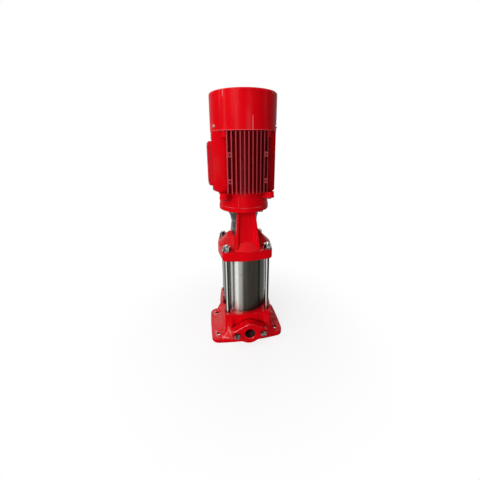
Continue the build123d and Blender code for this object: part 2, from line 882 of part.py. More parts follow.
def vent_plug():
    """Socket head plug that closes the head's vent, seated in a spot face on the outlet side."""
    seat = plan_bulge_radius - vent_recess
    shank = across(vent_plug_radius, plan_bulge_radius - vent_plug_length, seat, 0, vent_level)
    rim = across(vent_plug_radius + vent_rim_margin, seat, seat + vent_rim, 0, vent_level)
    rim = chamfer(rim.edges().group_by(Axis.Y)[-1], vent_rim_chamfer)
    mouth = Plane(origin=(0, seat + vent_rim + cut_past, vent_level), z_dir=(0, -1, 0))
    socket = extrude(mouth * RegularPolygon(vent_socket_radius, 6), cut_past + vent_socket_depth)
    save("vent_plug", shank + rim - socket)


# Coupling and guards

def guard_screws_at(radius, start, end):
    """Cylinders along the guards' radius at the four screw places, right guard first."""
    angle = radians(guard_screw_angle)
    solids = []
    for side in (1, -1):
        for hand in (-1, 1):
            direction = Vector(side * cos(angle), hand * sin(angle), 0)
            origin = direction * start + Vector(0, 0, bell_top + guard_screw_rise)
            solids.append(extrude(Plane(origin=origin, z_dir=direction) * Circle(radius), end - start))
    return solids


def wedge(half_angle, bottom, top):
    """Upright wedge that opens towards +X from the shaft axis."""
    far = 3 * guard_top_radius
    corner = (far * cos(radians(half_angle)), far * sin(radians(half_angle)))
    outline = Polyline((0, 0), (corner[0], -corner[1]), corner, close=True)
    return Pos(0, 0, bottom) * extrude(make_face(outline), top - bottom)


def guard_outside(level):
    """Outer radius of the guards at a height above the bell."""
    share = (level - guard_taper_start) / (guard_taper_end - guard_taper_start)
    share = min(max(share, 0), 1)
    return guard_radius + share * (guard_top_radius - guard_radius) - slip_gap


def coupling_guards():
    """Rolled sheet guards that close the two side windows, with beads pressed outwards."""
    stations = [guard_low, bell_top + guard_taper_start, bell_top + guard_taper_end, guard_high]
    outside = [(guard_outside(z - bell_top), z) for z in stations]
    inside = [(r - guard_sheet, z) for r, z in reversed(outside)]
    sheet = turned(outside + inside) & wedge(guard_half_angle, guard_low, guard_high)
    beads = []
    for level, half_angle in guard_beads:
        ring = Torus(guard_outside(level) - guard_sheet / 2, guard_bead_radius)
        beads.append((Pos(0, 0, bell_top + level) * ring) & wedge(half_angle, guard_low, guard_high))
    sheet = join(sheet, *beads)
    for hole in guard_screws_at(guard_screw_diameter / 2, guard_radius - 4, guard_radius + 1):
        sheet = sheet - hole
    save("coupling_guard_right", sheet)
    save("coupling_guard_left", Rot(0, 0, 180) * sheet)
    seat = guard_radius - slip_gap - guard_sheet
    shanks = guard_screws_at(guard_screw_diameter / 2 - slip_gap, seat - 1, seat + guard_screw_length)
    heads = guard_screws_at(guard_screw_head / 2, seat - guard_screw_head_start, seat - guard_screw_head_gap)
    save("guard_screws", *[shank + head for shank, head in zip(shanks, heads)])


def coupling():
    """Split clamp coupling that joins the two shafts, with its bolts and pin."""
    full = cylinder(coupling_radius, coupling_bottom, coupling_top)
    full = chamfer(full.edges().filter_by(GeomType.CIRCLE), coupling_chamfer)
    motor_side = cylinder(motor_shaft_diameter / 2 + slip_gap, shaft_meet, coupling_top)
    pump_side = cylinder(pump_shaft_diameter / 2 + slip_gap, coupling_bottom, shaft_meet)
    full = full - motor_side - pump_side
    reach = coupling_radius + cut_past
    half = full & block(coupling_split / 2, reach, -reach, reach,
                        coupling_bottom, coupling_top)
    levels = [coupling_bottom + coupling_bolt_inset, coupling_top - coupling_bolt_inset]
    seat = coupling_bolt_seat - coupling_seat_depth
    bolts = []
    for y in (-coupling_bolt_x, coupling_bolt_x):
        for level in levels:
            half = half - along_x(coupling_bolt_diameter / 2 + slip_gap, 0, coupling_radius, y, level)
            half = half - along_x(coupling_bolt_flats / 2 + coupling_seat_margin, seat, reach, y, level)
            face = Plane(origin=(seat, y, level), z_dir=(1, 0, 0))
            head = extrude(face * Circle(coupling_bolt_flats / 2), coupling_bolt_head)
            shank = along_x(coupling_bolt_diameter / 2, -seat, seat, y, level)
            bolts.append(shank + head)
    pin_level = (coupling_bottom + shaft_meet) / 2
    pin_hole = along_x(coupling_pin_diameter / 2 + slip_gap, 0, coupling_radius - coupling_pin_wall, 0,
                       pin_level)
    half = half - pin_hole
    save("coupling_halves", *both_ends(half))
    save("coupling_bolts", *bolts)


# Motor

def drive_lug_places():
    """Where the drive end shield is bolted to the housing."""
    return corners(2 * shield_lug_offset, 2 * shield_lug_offset)


def rear_lug_places():
    """Where the rear end shield is screwed to the housing, inside the cowl."""
    return corners(2 * rear_lug_offset, 2 * rear_lug_offset)


def lug(x, y, radius, root, bottom, top):
    """Round lug with a web that ties it to the round body inside it."""
    web = block(root - lug_root, hypot(x, y), -radius, radius, bottom, top)
    return cylinder(radius, bottom, top, x, y) + Rot(0, 0, degrees(atan2(y, x))) * web


def drive_end_shield():
    """Flanged bell at the motor's foot with its bearing seat and four lugs."""
    bore = motor_shaft_diameter / 2 + shield_shaft_gap
    seat_wall = bearing_outer / 2 + bearing_seat_wall
    seat_top = shield_top + bearing_seat_rise
    seat = bearing_outer / 2 + slip_gap
    floor = head_top + shield_floor
    solid = turned([
        (bore, head_top - spigot_height), (spigot_diameter / 2, head_top - spigot_height),
        (spigot_diameter / 2, head_top), (shield_radius, head_top), (shield_radius, shield_top),
        (shield_radius - shield_wall, shield_top), (shield_radius - shield_wall, floor),
        (seat_wall, floor), (seat_wall, seat_top), (seat, seat_top), (seat, bearing_low), (bore, bearing_low),
    ])
    for x, y in drive_lug_places():
        solid = solid + lug(x, y, shield_lug_radius, shield_radius, shield_top - shield_lug_height,
                            shield_top)
        solid = solid - cylinder(shield_bolt_diameter / 2 + free_gap, shield_top - shield_bolt_clear,
                                 shield_top, x, y)
    for x, y in circle_places(flange_bolt_circle / 2, flange_bolt_count, flange_bolt_angle):
        solid = solid - cylinder(flange_bolt_diameter / 2, head_top, floor - flange_bolt_floor, x, y)
    save("drive_end_shield", solid)


def flange_bolts():
    """Hexagon bolts that hold the motor down on the stool, from below."""
    bolts = []
    for x, y in circle_places(flange_bolt_circle / 2, flange_bolt_count, flange_bolt_angle):
        shank = cylinder(flange_bolt_diameter / 2 - slip_gap, flange_bottom,
                         head_top + shield_floor - flange_bolt_end, x, y)
        bolts.append(shank + hexagon(flange_bolt_flats, flange_bottom - flange_bolt_head, flange_bottom, x,
                                     y))
    save("motor_flange_bolts", *bolts)


def motor_housing():
    """Round housing with four groups of parallel fins, foot bosses and the terminal box pad."""
    fins = []
    half = fin_thickness / 2
    for n in range(front_fin_count):
        x = (n - (front_fin_count - 1) / 2) * front_fin_pitch
        root = sqrt(housing_radius ** 2 - x ** 2) - fin_root
        for side in (-1, 1):
            fins.append(block(x - half, x + half, side * root, side * fin_radius, fin_bottom, housing_top))
    for n in range(side_fin_count):
        y = (n - (side_fin_count - 1) / 2) * side_fin_pitch
        root = sqrt(housing_radius ** 2 - y ** 2) - fin_root
        for side in (-1, 1):
            fins.append(block(side * root, side * fin_radius, y - half, y + half, fin_bottom, housing_top))
    fins = (Part() + fins) & cylinder(fin_radius, fin_bottom, housing_top)
    box_half = box_width / 2 + box_fin_gap
    fins = fins - block(-fin_radius - cut_past, 0, -box_half, box_half, box_low - box_fin_gap,
                        box_high + box_fin_gap)
    solid = cylinder(housing_radius, shield_top, housing_top) + fins

    pad_half = box_width / 2 - box_pad_inset
    pad = block(-box_back, 0, -pad_half, pad_half, box_low + box_pad_inset, box_high - box_pad_inset)
    solid = solid + pad
    boss_x = (front_fin_count - 2) / 2 * front_fin_pitch
    boss_places = [(x, z) for x in (-boss_x, boss_x) for z in foot_boss_levels]
    for x, z in boss_places:
        boss = block(x - foot_boss_width / 2, x + foot_boss_width / 2, -foot_boss_reach, -housing_bore / 3,
                     z - foot_boss_height / 2, z + foot_boss_height / 2)
        solid = solid + both_ends(boss)
    for places, radius, bottom, top in (
        (drive_lug_places(), shield_lug_radius - 1, shield_top, fin_bottom),
        (rear_lug_places(), rear_lug_radius, housing_top - rear_lug_height, housing_top),
    ):
        for x, y in places:
            solid = solid + lug(x, y, radius, housing_radius, bottom, top)
    solid = solid - cylinder(housing_bore / 2, shield_top - 1, housing_top + 1)
    for x, z in boss_places:
        solid = solid - both_ends(across(foot_boss_hole / 2, -foot_boss_reach - 1,
                                         foot_boss_depth - foot_boss_reach, x, z))
    hole = shield_bolt_diameter / 2 + slip_gap
    for x, y in drive_lug_places():
        solid = solid - cylinder(hole, shield_top - 1, shield_top + shield_bolt_reach + 1, x, y)
    for x, y in rear_lug_places():
        solid = solid - cylinder(hole, housing_top - shield_bolt_reach - 1, housing_top + 1, x, y)
    solid = solid - along_x(wire_hole_radius, -box_back - 1, -housing_bore / 2 + 4, 0, box_centre_height)
    save("motor_housing", solid)


def shield_fasteners():
    """Bolts from below at the drive end, screws from above at the fan end."""
    lug_bottom = shield_top - shield_lug_height
    bolts = []
    for x, y in drive_lug_places():
        shank = cylinder(shield_bolt_diameter / 2, lug_bottom, shield_top + shield_bolt_reach, x, y)
        bolts.append(shank + hexagon(shield_bolt_flats, lug_bottom - shield_bolt_head, lug_bottom, x, y))
    save("drive_shield_bolts", *bolts)
    seat = housing_top + rear_shield_wall
    screws = []
    for x, y in rear_lug_places():
        shank = cylinder(shield_bolt_diameter / 2, housing_top - shield_bolt_reach, seat, x, y)
        screws.append(shank + hexagon(shield_bolt_flats, seat, seat + shield_bolt_head, x, y))
    save("rear_shield_screws", *screws)


def cowl_screw_angles():
    """The four directions in which the cowl is screwed down."""
    return [cowl_screw_angle, 180 - cowl_screw_angle, 180 + cowl_screw_angle, -cowl_screw_angle]


def rear_end_shield():
    """Fan end shield with its bearing seat, screw lugs and the arms that carry the cowl."""
    bore = journal_diameter / 2 + shield_shaft_gap
    seat = bearing_outer / 2 + slip_gap
    top = bearing_high + bearing_width + rear_seat_rise
    wall_top = housing_top + rear_shield_wall
    solid = turned([
        (seat, housing_top), (housing_radius, housing_top), (housing_radius, wall_top),
        (bearing_outer / 2 + rear_seat_foot_wall, wall_top + rear_seat_slope),
        (bearing_outer / 2 + bearing_seat_wall, top),
        (bore, top), (bore, bearing_high + bearing_width), (seat, bearing_high + bearing_width),
    ])
    for x, y in rear_lug_places():
        solid = solid + lug(x, y, rear_lug_radius, housing_radius, housing_top, wall_top)
    reach = cowl_radius - cowl_sheet - 2 * slip_gap
    inside = cylinder(reach, housing_top, cowl_top)
    solid = solid & cylinder(reach, housing_top - 1, cowl_top)
    for angle in cowl_screw_angles():
        arm = Rot(0, 0, angle) * block(housing_radius - cowl_arm_root, reach + cowl_arm_root - cut_past,
                                       -cowl_arm_half_width, cowl_arm_half_width, housing_top,
                                       cowl_bottom + cowl_screw_rise + cowl_arm_rise)
        solid = solid + (arm & inside)
        hole = Rot(0, 0, angle) * along_x(cowl_screw_diameter / 2 + slip_gap, reach - cowl_screw_depth,
                                          reach + cut_past, 0, cowl_bottom + cowl_screw_rise)
        solid = solid - hole
    for x, y in rear_lug_places():
        solid = solid - cylinder(shield_bolt_diameter / 2 + slip_gap, housing_top - 1,
                                 housing_top + rear_shield_wall, x, y)
    save("rear_end_shield", solid)


def fan_cowl():
    """Sheet cowl with a rounded top edge, slotted air grille and four screw holes."""
    outer = cylinder(cowl_radius, cowl_bottom, cowl_top)
    outer = fillet(outer.edges().sort_by(Axis.Z)[-1], cowl_round)
    inner = cylinder(cowl_radius - cowl_sheet, cowl_bottom, cowl_top - cowl_sheet)
    inner = fillet(inner.edges().sort_by(Axis.Z)[-1], cowl_round - cowl_sheet)
    shell = outer - inner
    spokes = []
    for n in range(grille_spokes):
        angle = 360 / grille_spokes * n
        spokes.append(Rot(0, 0, angle) * block(0, cowl_radius, -grille_spoke_width / 2, grille_spoke_width / 2,
                                                cowl_top - 2 * grille_cut_depth, cowl_top + cut_past))
    slots = [
        tube(radius + grille_slot / 2, radius - grille_slot / 2, cowl_top - grille_cut_depth,
             cowl_top + cut_past)
        for radius in grille_rings
    ]
    openings = (Part() + slots) - spokes
    shell = shell - openings
    level = cowl_bottom + cowl_screw_rise
    for angle in cowl_screw_angles():
        shell = shell - Rot(0, 0, angle) * along_x(cowl_screw_diameter / 2 + free_gap, cowl_radius - 5,
                                                  cowl_radius + 1, 0, level)
    save("fan_cowl", shell)
    screws = []
    for angle in cowl_screw_angles():
        seat = cowl_radius + cowl_screw_gap
        shank = along_x(cowl_screw_diameter / 2, cowl_radius - cowl_screw_depth, seat, 0, level)
        head = along_x(cowl_screw_head / 2, seat, cowl_radius + cowl_screw_proud, 0, level)
        head = fillet(head.edges().group_by(Axis.X)[-1], cowl_screw_round)
        screws.append(Rot(0, 0, angle) * (shank + head))
    save("cowl_screws", *screws)


def cooling_fan():
    """Plastic fan with straight radial blades on a disc and hub."""
    bore = motor_shaft_diameter / 2 - fan_seat_step + slip_gap
    hub_top_level = fan_top - fan_clip_space
    hub = tube(fan_hub_radius, bore, fan_bottom, hub_top_level)
    disc = tube(fan_radius - fan_disc_inset, bore, fan_bottom, fan_bottom + fan_disc)
    blade = block(fan_hub_radius - 1, fan_radius, -fan_blade_thickness / 2, fan_blade_thickness / 2,
                  fan_bottom, fan_bottom + fan_blade_height)
    blades = [Rot(0, 0, 360 * n / fan_blades) * blade for n in range(fan_blades)]
    wheel = hub + disc + blades
    wheel = wheel - cylinder(bore, fan_bottom, fan_top)
    save("cooling_fan", wheel)
    clip = tube(fan_hub_radius - fan_clip_inset, bore, hub_top_level, fan_top - fan_clip_drop)
    save("fan_clip", clip)


def bearings():
    """Two ball bearings: outer races with balls stay still, inner races turn with the shaft."""
    outer = []
    inner = []
    balls = []
    pitch = (bearing_outer + journal_diameter) / 4
    bore = journal_diameter / 2 + slip_gap
    for bottom in (bearing_low, bearing_high):
        top = bottom + bearing_width
        middle = bottom + bearing_width / 2
        groove = Pos(0, 0, middle) * Torus(pitch, bearing_ball / 2 + bearing_groove_gap)
        outer.append(tube(bearing_outer / 2, bearing_outer / 2 - bearing_race, bottom, top) - groove)
        inner.append(tube(journal_diameter / 2 + bearing_race, bore, bottom, top) - groove)
        for x, y in circle_places(pitch, bearing_balls):
            balls.append(Pos(x, y, middle) * Sphere(bearing_ball / 2))
    save("bearing_outer_races", *outer)
    save("bearing_inner_races", *inner)
    save("bearing_balls", *balls)


def windings_and_rotor():
    """Stator core with its end windings, and the rotor core on the shaft."""
    core = tube(housing_bore / 2 - slip_gap, stator_bore / 2, stator_bottom, stator_top)
    save("stator_core", core)
    coil_outer = housing_bore / 2 - winding_clearance
    coils = [
        tube(coil_outer, coil_outer - winding_wall, stator_bottom - winding_height, stator_bottom),
        tube(coil_outer, coil_outer - winding_wall, stator_top, stator_top + winding_height),
    ]
    save("stator_windings", *[fillet(c.edges().filter_by(GeomType.CIRCLE), winding_round) for c in coils])
    radius = stator_bore / 2 - air_gap
    shaft = journal_diameter / 2 + shaft_shoulder + slip_gap
    core = tube(radius, shaft, stator_bottom, stator_top)
    rings = tube(radius - rotor_ring_inset, radius - rotor_ring_depth, stator_bottom - rotor_ring_height,
                 stator_top + rotor_ring_height)
    save("rotor_core", core + rings)


def terminal_box():
    """Terminal box on the housing's pad, with gasket, lid, screws, block and gland."""
    half_w = box_width / 2
    low = box_low
    high = box_high
    pad_x = -box_back
    outer = block(-box_face, pad_x, -half_w, half_w, low, high)
    outer = fillet(outer.edges().filter_by(Axis.X), box_round)
    inner = block(-box_face - 1, pad_x - box_wall, -half_w + box_wall, half_w - box_wall, low + box_wall,
                  high - box_wall)
    box = outer - inner - along_x(wire_hole_radius, -box_face, pad_x + 1, 0, box_centre_height)
    screw_places = [
        (sy * (half_w - lid_screw_inset), box_centre_height + sz * (box_height / 2 - lid_screw_inset))
        for sy in (-1, 1) for sz in (-1, 1)
    ]
    for y, z in screw_places:
        box = box + along_x(lid_screw_boss, -box_face, pad_x - box_wall + 1, y, z)
        box = box - along_x(lid_screw_diameter / 2 + slip_gap, -box_face - cut_past,
                            -box_face + lid_screw_hole_depth, y, z)
    gland_x = (pad_x - box_wall - box_face) / 2
    gland_z = box_centre_height - gland_drop
    box = box - across(gland_thread / 2 + slip_gap, half_w - box_wall - 1, half_w + 1, gland_x, gland_z)
    save("terminal_box", box)

    lid_start = -box_face - lid_gasket_thickness
    lid_end = -box_face - lid_thickness
    lid = block(lid_end, lid_start, -half_w, half_w, low, high)
    lid = fillet(lid.edges().filter_by(Axis.X), box_round)
    lid = chamfer(lid.faces().sort_by(Axis.X)[0].outer_wire().edges(), lid_chamfer - lid_chamfer_inset)
    gasket = block(lid_start, -box_face, -half_w, half_w, low, high)
    gasket = fillet(gasket.edges().filter_by(Axis.X), box_round)
    gasket = gasket - block(lid_start - cut_past, -box_face + cut_past, -half_w + box_wall,
                            half_w - box_wall, low + box_wall,
                            high - box_wall)
    seat = lid_end + lid_screw_seat
    screws = []
    for y, z in screw_places:
        lid = lid - along_x(lid_screw_head / 2 + free_gap, lid_end - 1, seat, y, z)
        lid = lid - along_x(lid_screw_diameter / 2 + free_gap, seat - 1, lid_start + 1, y, z)
        shank = along_x(lid_screw_diameter / 2, seat, -box_face + lid_screw_reach, y, z)
        head = along_x(lid_screw_head / 2, seat - lid_screw_head_height, seat, y, z)
        screws.append(shank + head)
    save("terminal_box_lid", lid)
    save("lid_gasket", gasket)
    save("lid_screws", *screws)

    back = pad_x - box_wall
    block_top = high - box_wall - terminal_block_drop
    base = block(back - terminal_block_depth, back, -terminal_block_width / 2, terminal_block_width / 2,
                 block_top - terminal_block_height, block_top)
    save("terminal_block", base)

    inner_end = half_w - box_wall - gland_inside
    outer_end = half_w + gland_length
    gland = across(gland_thread / 2, inner_end, half_w, gland_x, gland_z)
    collar = Plane(origin=(gland_x, half_w, gland_z), x_dir=(1, 0, 0), z_dir=(0, 1, 0)) * RegularPolygon(
        gland_flats / 2, 6, major_radius=False, rotation=30)
    cap = across(gland_flats / 2 - gland_cap_inset, half_w + gland_collar, outer_end, gland_x, gland_z)
    cap = fillet(cap.edges().group_by(Axis.Y)[-1], gland_round)
    gland = gland + extrude(collar, gland_collar) + cap
    gland = gland - across(gland_bore / 2, inner_end - 1, outer_end + 1, gland_x, gland_z)
    save("cable_gland", gland)


os.makedirs("parts", exist_ok=True)
base_casting()
drain_plug()
ports()
sleeve()
tie_rods()
stages()
impellers()
shafts()
shaft_seal()
pump_head()
vent_plug()
coupling_guards()
coupling()
drive_end_shield()
flange_bolts()
motor_housing()
shield_fasteners()
rear_end_shield()
fan_cowl()
cooling_fan()
bearings()
windings_and_rotor()
terminal_box()
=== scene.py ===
"""Looks of the vertical pump: finishes, small fittings, floor, light and camera."""
import bmesh
import bpy
from math import cos, pi, radians, sin
from mathutils import Matrix, Vector


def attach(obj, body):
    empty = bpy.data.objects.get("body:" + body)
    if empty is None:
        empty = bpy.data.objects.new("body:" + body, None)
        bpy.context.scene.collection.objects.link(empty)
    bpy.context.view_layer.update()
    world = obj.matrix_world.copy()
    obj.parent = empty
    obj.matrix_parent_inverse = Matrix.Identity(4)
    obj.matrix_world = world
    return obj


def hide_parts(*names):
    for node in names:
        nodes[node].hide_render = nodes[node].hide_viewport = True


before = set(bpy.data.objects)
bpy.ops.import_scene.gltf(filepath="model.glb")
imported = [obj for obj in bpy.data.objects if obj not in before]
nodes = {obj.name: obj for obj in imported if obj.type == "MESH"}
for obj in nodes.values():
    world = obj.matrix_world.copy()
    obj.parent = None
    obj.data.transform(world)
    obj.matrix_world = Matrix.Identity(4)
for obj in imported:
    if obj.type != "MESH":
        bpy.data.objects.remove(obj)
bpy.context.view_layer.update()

MM = 0.001
STILL = "pump_frame"


# Shader maths

class Value:
    """A number that varies over a surface. Arithmetic on it adds Math nodes."""

    def __init__(self, shading, socket):
        self.shading = shading
        self.socket = socket

    def _math(self, operation, *values):
        return self.shading.node("Math", {"operation": operation}, *values)

    def __add__(self, other):
        return self._math("ADD", self, other)

    def __radd__(self, other):
        return self._math("ADD", other, self)

    def __sub__(self, other):
        return self._math("SUBTRACT", self, other)

    def __rsub__(self, other):
        return self._math("SUBTRACT", other, self)

    def __mul__(self, other):
        return self._math("MULTIPLY", self, other)

    def __rmul__(self, other):
        return self._math("MULTIPLY", other, self)

    def __truediv__(self, other):
        return self._math("DIVIDE", self, other)

    def clamped(self):
        """The value held between 0 and 1."""
        return self.shading.node("Clamp", {}, self)

    def between(self, low, high, to_low=0.0, to_high=1.0):
        """The value spread from one range to another, smoothly and without overshoot."""
        return self.shading.node("MapRange", {"interpolation_type": "SMOOTHSTEP", "clamp": True},
                                 self, low, high, to_low, to_high)


class Shading:
    """Shader tree of a material or of the world, with one method that makes its nodes."""

    def __init__(self, owner):
        owner.use_nodes = True
        self.tree = owner.node_tree
        self.tree.nodes.clear()

    def node(self, kind, settings, *values, output=None, **named):
        """Add a node, set it up, fill its sockets and return one of its outputs as a Value."""
        node = self.tree.nodes.new("ShaderNode" + kind)
        for key, setting in settings.items():
            setattr(node, key, setting)
        pairs = list(zip(node.inputs, values)) + [(node.inputs[key], value) for key, value in named.items()]
        for socket, value in pairs:
            if isinstance(value, Value):
                self.tree.links.new(value.socket, socket)
            elif value is not None:
                socket.default_value = value
        if not len(node.outputs):
            return node
        return Value(self, node.outputs[output] if output else node.outputs[0])

    def seen_directly(self):
        """1 for rays from the camera, from a reflection or through glass, otherwise 0."""
        total = self.node("LightPath", {}, output="Is Camera Ray")
        for kind in ("Is Glossy Ray", "Is Transmission Ray"):
            ray = self.node("LightPath", {}, output=kind)
            total = self.node("Math", {"operation": "MAXIMUM"}, total, ray)
        return total


class Finish(Shading):
    """A material under construction."""

    def __init__(self, name):
        self.material = bpy.data.materials.new(name)
        super().__init__(self.material)
        self.place = self.node("TexCoord", {}, output="Object")

    def axis(self, letter):
        """One coordinate of the place on the object, in metres."""
        return self.node("SeparateXYZ", {}, self.place, output=letter)

    def stretched(self, x, y, z):
        """The place on the object, scaled along each axis, in repeats per metre."""
        return self.node("Mapping", {}, Vector=self.place, Scale=(x, y, z))

    def bearing_from(self, degrees, place=None):
        """Angle in radians between a direction in the floor plan and the place about an axis."""
        x, y = place or (self.axis("X"), self.axis("Y"))
        a = radians(degrees)
        along = x * cos(a) + y * sin(a)
        sideways = y * cos(a) - x * sin(a)
        angle = self.node("Math", {"operation": "ARCTAN2"}, sideways, along)
        return self.node("Math", {"operation": "ABSOLUTE"}, angle)

    def stripe(self, bearing, half_width, edge, place=None):
        """1 along the middle of an upright stripe, 0 past its half width, both given in degrees."""
        return (1.0 - self.bearing_from(bearing, place) / radians(half_width)).between(0.0, edge)

    def stripes(self, table, edge, place=None):
        """Sum of upright stripes, each with its bearing, half width and strength."""
        total = None
        for bearing, half_width, strength in table:
            band = self.stripe(bearing, half_width, edge, place) * strength
            total = band if total is None else total + band
        return total

    def noise(self, scale, detail=3.0, roughness=0.55, place=None):
        """Cloudy value from 0 to 1."""
        return self.node("TexNoise", {}, Vector=place or self.place, Scale=scale, Detail=detail,
                         Roughness=roughness, output="Fac")

    def colour_mix(self, amount, first, second):
        """Blend of two colours. The Mix node's colour sockets come after those for numbers and vectors."""
        unused = [None] * 5
        return self.node("Mix", {"data_type": "RGBA"}, amount, *unused, first, second, output=2)

    def edges(self, radius):
        """Near 1 on edges sharper than the radius, 0 on flats."""
        soft = self.node("Bevel", {"samples": 4}, Radius=radius)
        sharp = self.node("NewGeometry", {}, output="Normal")
        likeness = self.node("VectorMath", {"operation": "DOT_PRODUCT"}, soft, sharp, output="Value")
        return (1.0 - likeness).between(0.01, 0.18)

    def hollows(self, reach):
        """Near 1 in corners and gaps, 0 in the open."""
        open_sky = self.node("AmbientOcclusion", {"samples": 6}, Distance=reach, output="AO")
        return (1.0 - open_sky).between(0.25, 0.85)

    def bumps(self, height, distance, rounding=None):
        """Normal for a height in parts of a distance in metres, over softened edges."""
        base = self.node("Bevel", {"samples": 4}, Radius=rounding) if rounding else None
        return self.node("Bump", {}, Strength=1.0, Distance=distance, Height=height, Normal=base)

    def done(self, **sockets):
        """Close the material with a Principled shader."""
        shader = self.node("BsdfPrincipled", {}, **sockets)
        self.node("OutputMaterial", {}, Surface=shader)
        return self.material


def rgb(red, green, blue):
    """Colour with full alpha."""
    return (red, green, blue, 1.0)


# Colours

RED = rgb(0.66, 0.0006, 0.005)
RED_DEEP = rgb(0.40, 0.0, 0.003)
# Pale pink for worn paint and for painted highlights on edges, lines and streaks
RED_PALE_WEAR_AND_HIGHLIGHT = rgb(0.78, 0.10, 0.12)
RED_SHADE = rgb(0.13, 0.0, 0.001)
FIN_TIP_SHEEN = rgb(0.36, 0.045, 0.055)
BORE_PAINTED_SHADE = rgb(0.035, 0.002, 0.003)
SCUFF_AND_HIGHLIGHT = rgb(0.80, 0.42, 0.40)
LID_RED_SHADE = rgb(0.40, 0.004, 0.014)
BARE_IRON = rgb(0.30, 0.28, 0.27)
DUST = rgb(0.33, 0.24, 0.20)
STEEL_HIGHLIGHT = rgb(0.72, 0.73, 0.69)
STEEL_SHADE = rgb(0.050, 0.047, 0.039)
STEEL_BROWN = rgb(0.036, 0.031, 0.023)
STEEL_STAIN = rgb(0.045, 0.030, 0.022)
STEEL_BLACK = rgb(0.016, 0.016, 0.014)
CORNER_DARKENING = rgb(0.09, 0.08, 0.07)
OIL_FILM = rgb(0.16, 0.14, 0.12)
GUARD_LIGHT = rgb(0.070, 0.070, 0.066)
GUARD_DARK = rgb(0.030, 0.030, 0.028)
GUARD_EDGE_HIGHLIGHT = rgb(0.55, 0.55, 0.53)
COPPER_LIGHT = rgb(0.50, 0.19, 0.07)
COPPER_DARK = rgb(0.27, 0.08, 0.03)
PLATE_EDGE = rgb(0.22, 0.21, 0.21)
PLATE_FACE = rgb(0.40, 0.39, 0.38)
WHITE = rgb(1.0, 1.0, 1.0)


# Places and tables of marks

ROD_OFFSET = 117.2 / 2 * MM
ROD_END = 310.4 * MM
PORT_HEIGHT = 48 * MM
PORT_BORE = 15.6 * MM
PORT_THREAD_START = 85.5 * MM
FOOT_END = 111.2 * MM
COWL_BOTTOM = 613.5 * MM
COWL_RADIUS = 88 * MM
COWL_LIP = 2.2 * MM
FIN_BOTTOM = 460.8 * MM
FIN_TIP_START = 85.8 * MM
FLANGE_JOINT = 419.6 * MM
SEAM_BEARING = -83.8
SEAM_LENGTH = 31 * MM
SEAM_RISE = 1 * MM
PARTING_BEARING = -110.5
PARTING_HALF_WIDTH = 0.9
PARTING_TOP = 450 * MM

# Bearing, half width in degrees and strength of the painted highlight streaks on each tie rod
ROD_HIGHLIGHT_STREAKS = ((-118, 24, 1.0), (-35, 14, 0.2), (70, 22, 0.8), (172, 16, 0.5))

# Bearing, half width in degrees and strength of the painted highlights in upright bands on the sleeve
SLEEVE_HIGHLIGHTS = ((-125, 15, 1.0), (-113, 14, 0.35), (-50, 5, 0.05), (-15, 5, 0.2), (52, 10, 0.8),
                (112, 14, 0.35), (168, 8, 0.6))

# Bearing and half width in degrees of the painted dark reflections in upright bands on the sleeve
SLEEVE_SHADOWS = ((-146, 9), (-165, 5), (-36, 20), (88, 9))

# Bearing, half width in degrees and strength of the pale streaks down the cowl, painted reflections of the
# lamps
COWL_HIGHLIGHT_STREAKS = ((-137, 4, 0.16), (-129, 3, 0.22), (-112, 8, 0.10), (-90, 7, 0.16), (-60, 5, 0.08),
                (20, 8, 0.2), (75, 5, 0.15), (130, 10, 0.2))

# Bearing, half width in degrees, lowest and highest level of the pale marks on the cowl, partly scuffs and
# partly painted highlights
COWL_SCUFFS_AND_HIGHLIGHTS = ((-131.3, 0.5, 0.686, 0.704), (-45.5, 1.3, 0.696, 0.702), (-138.0, 0.4, 0.700, 0.703))


# Finishes

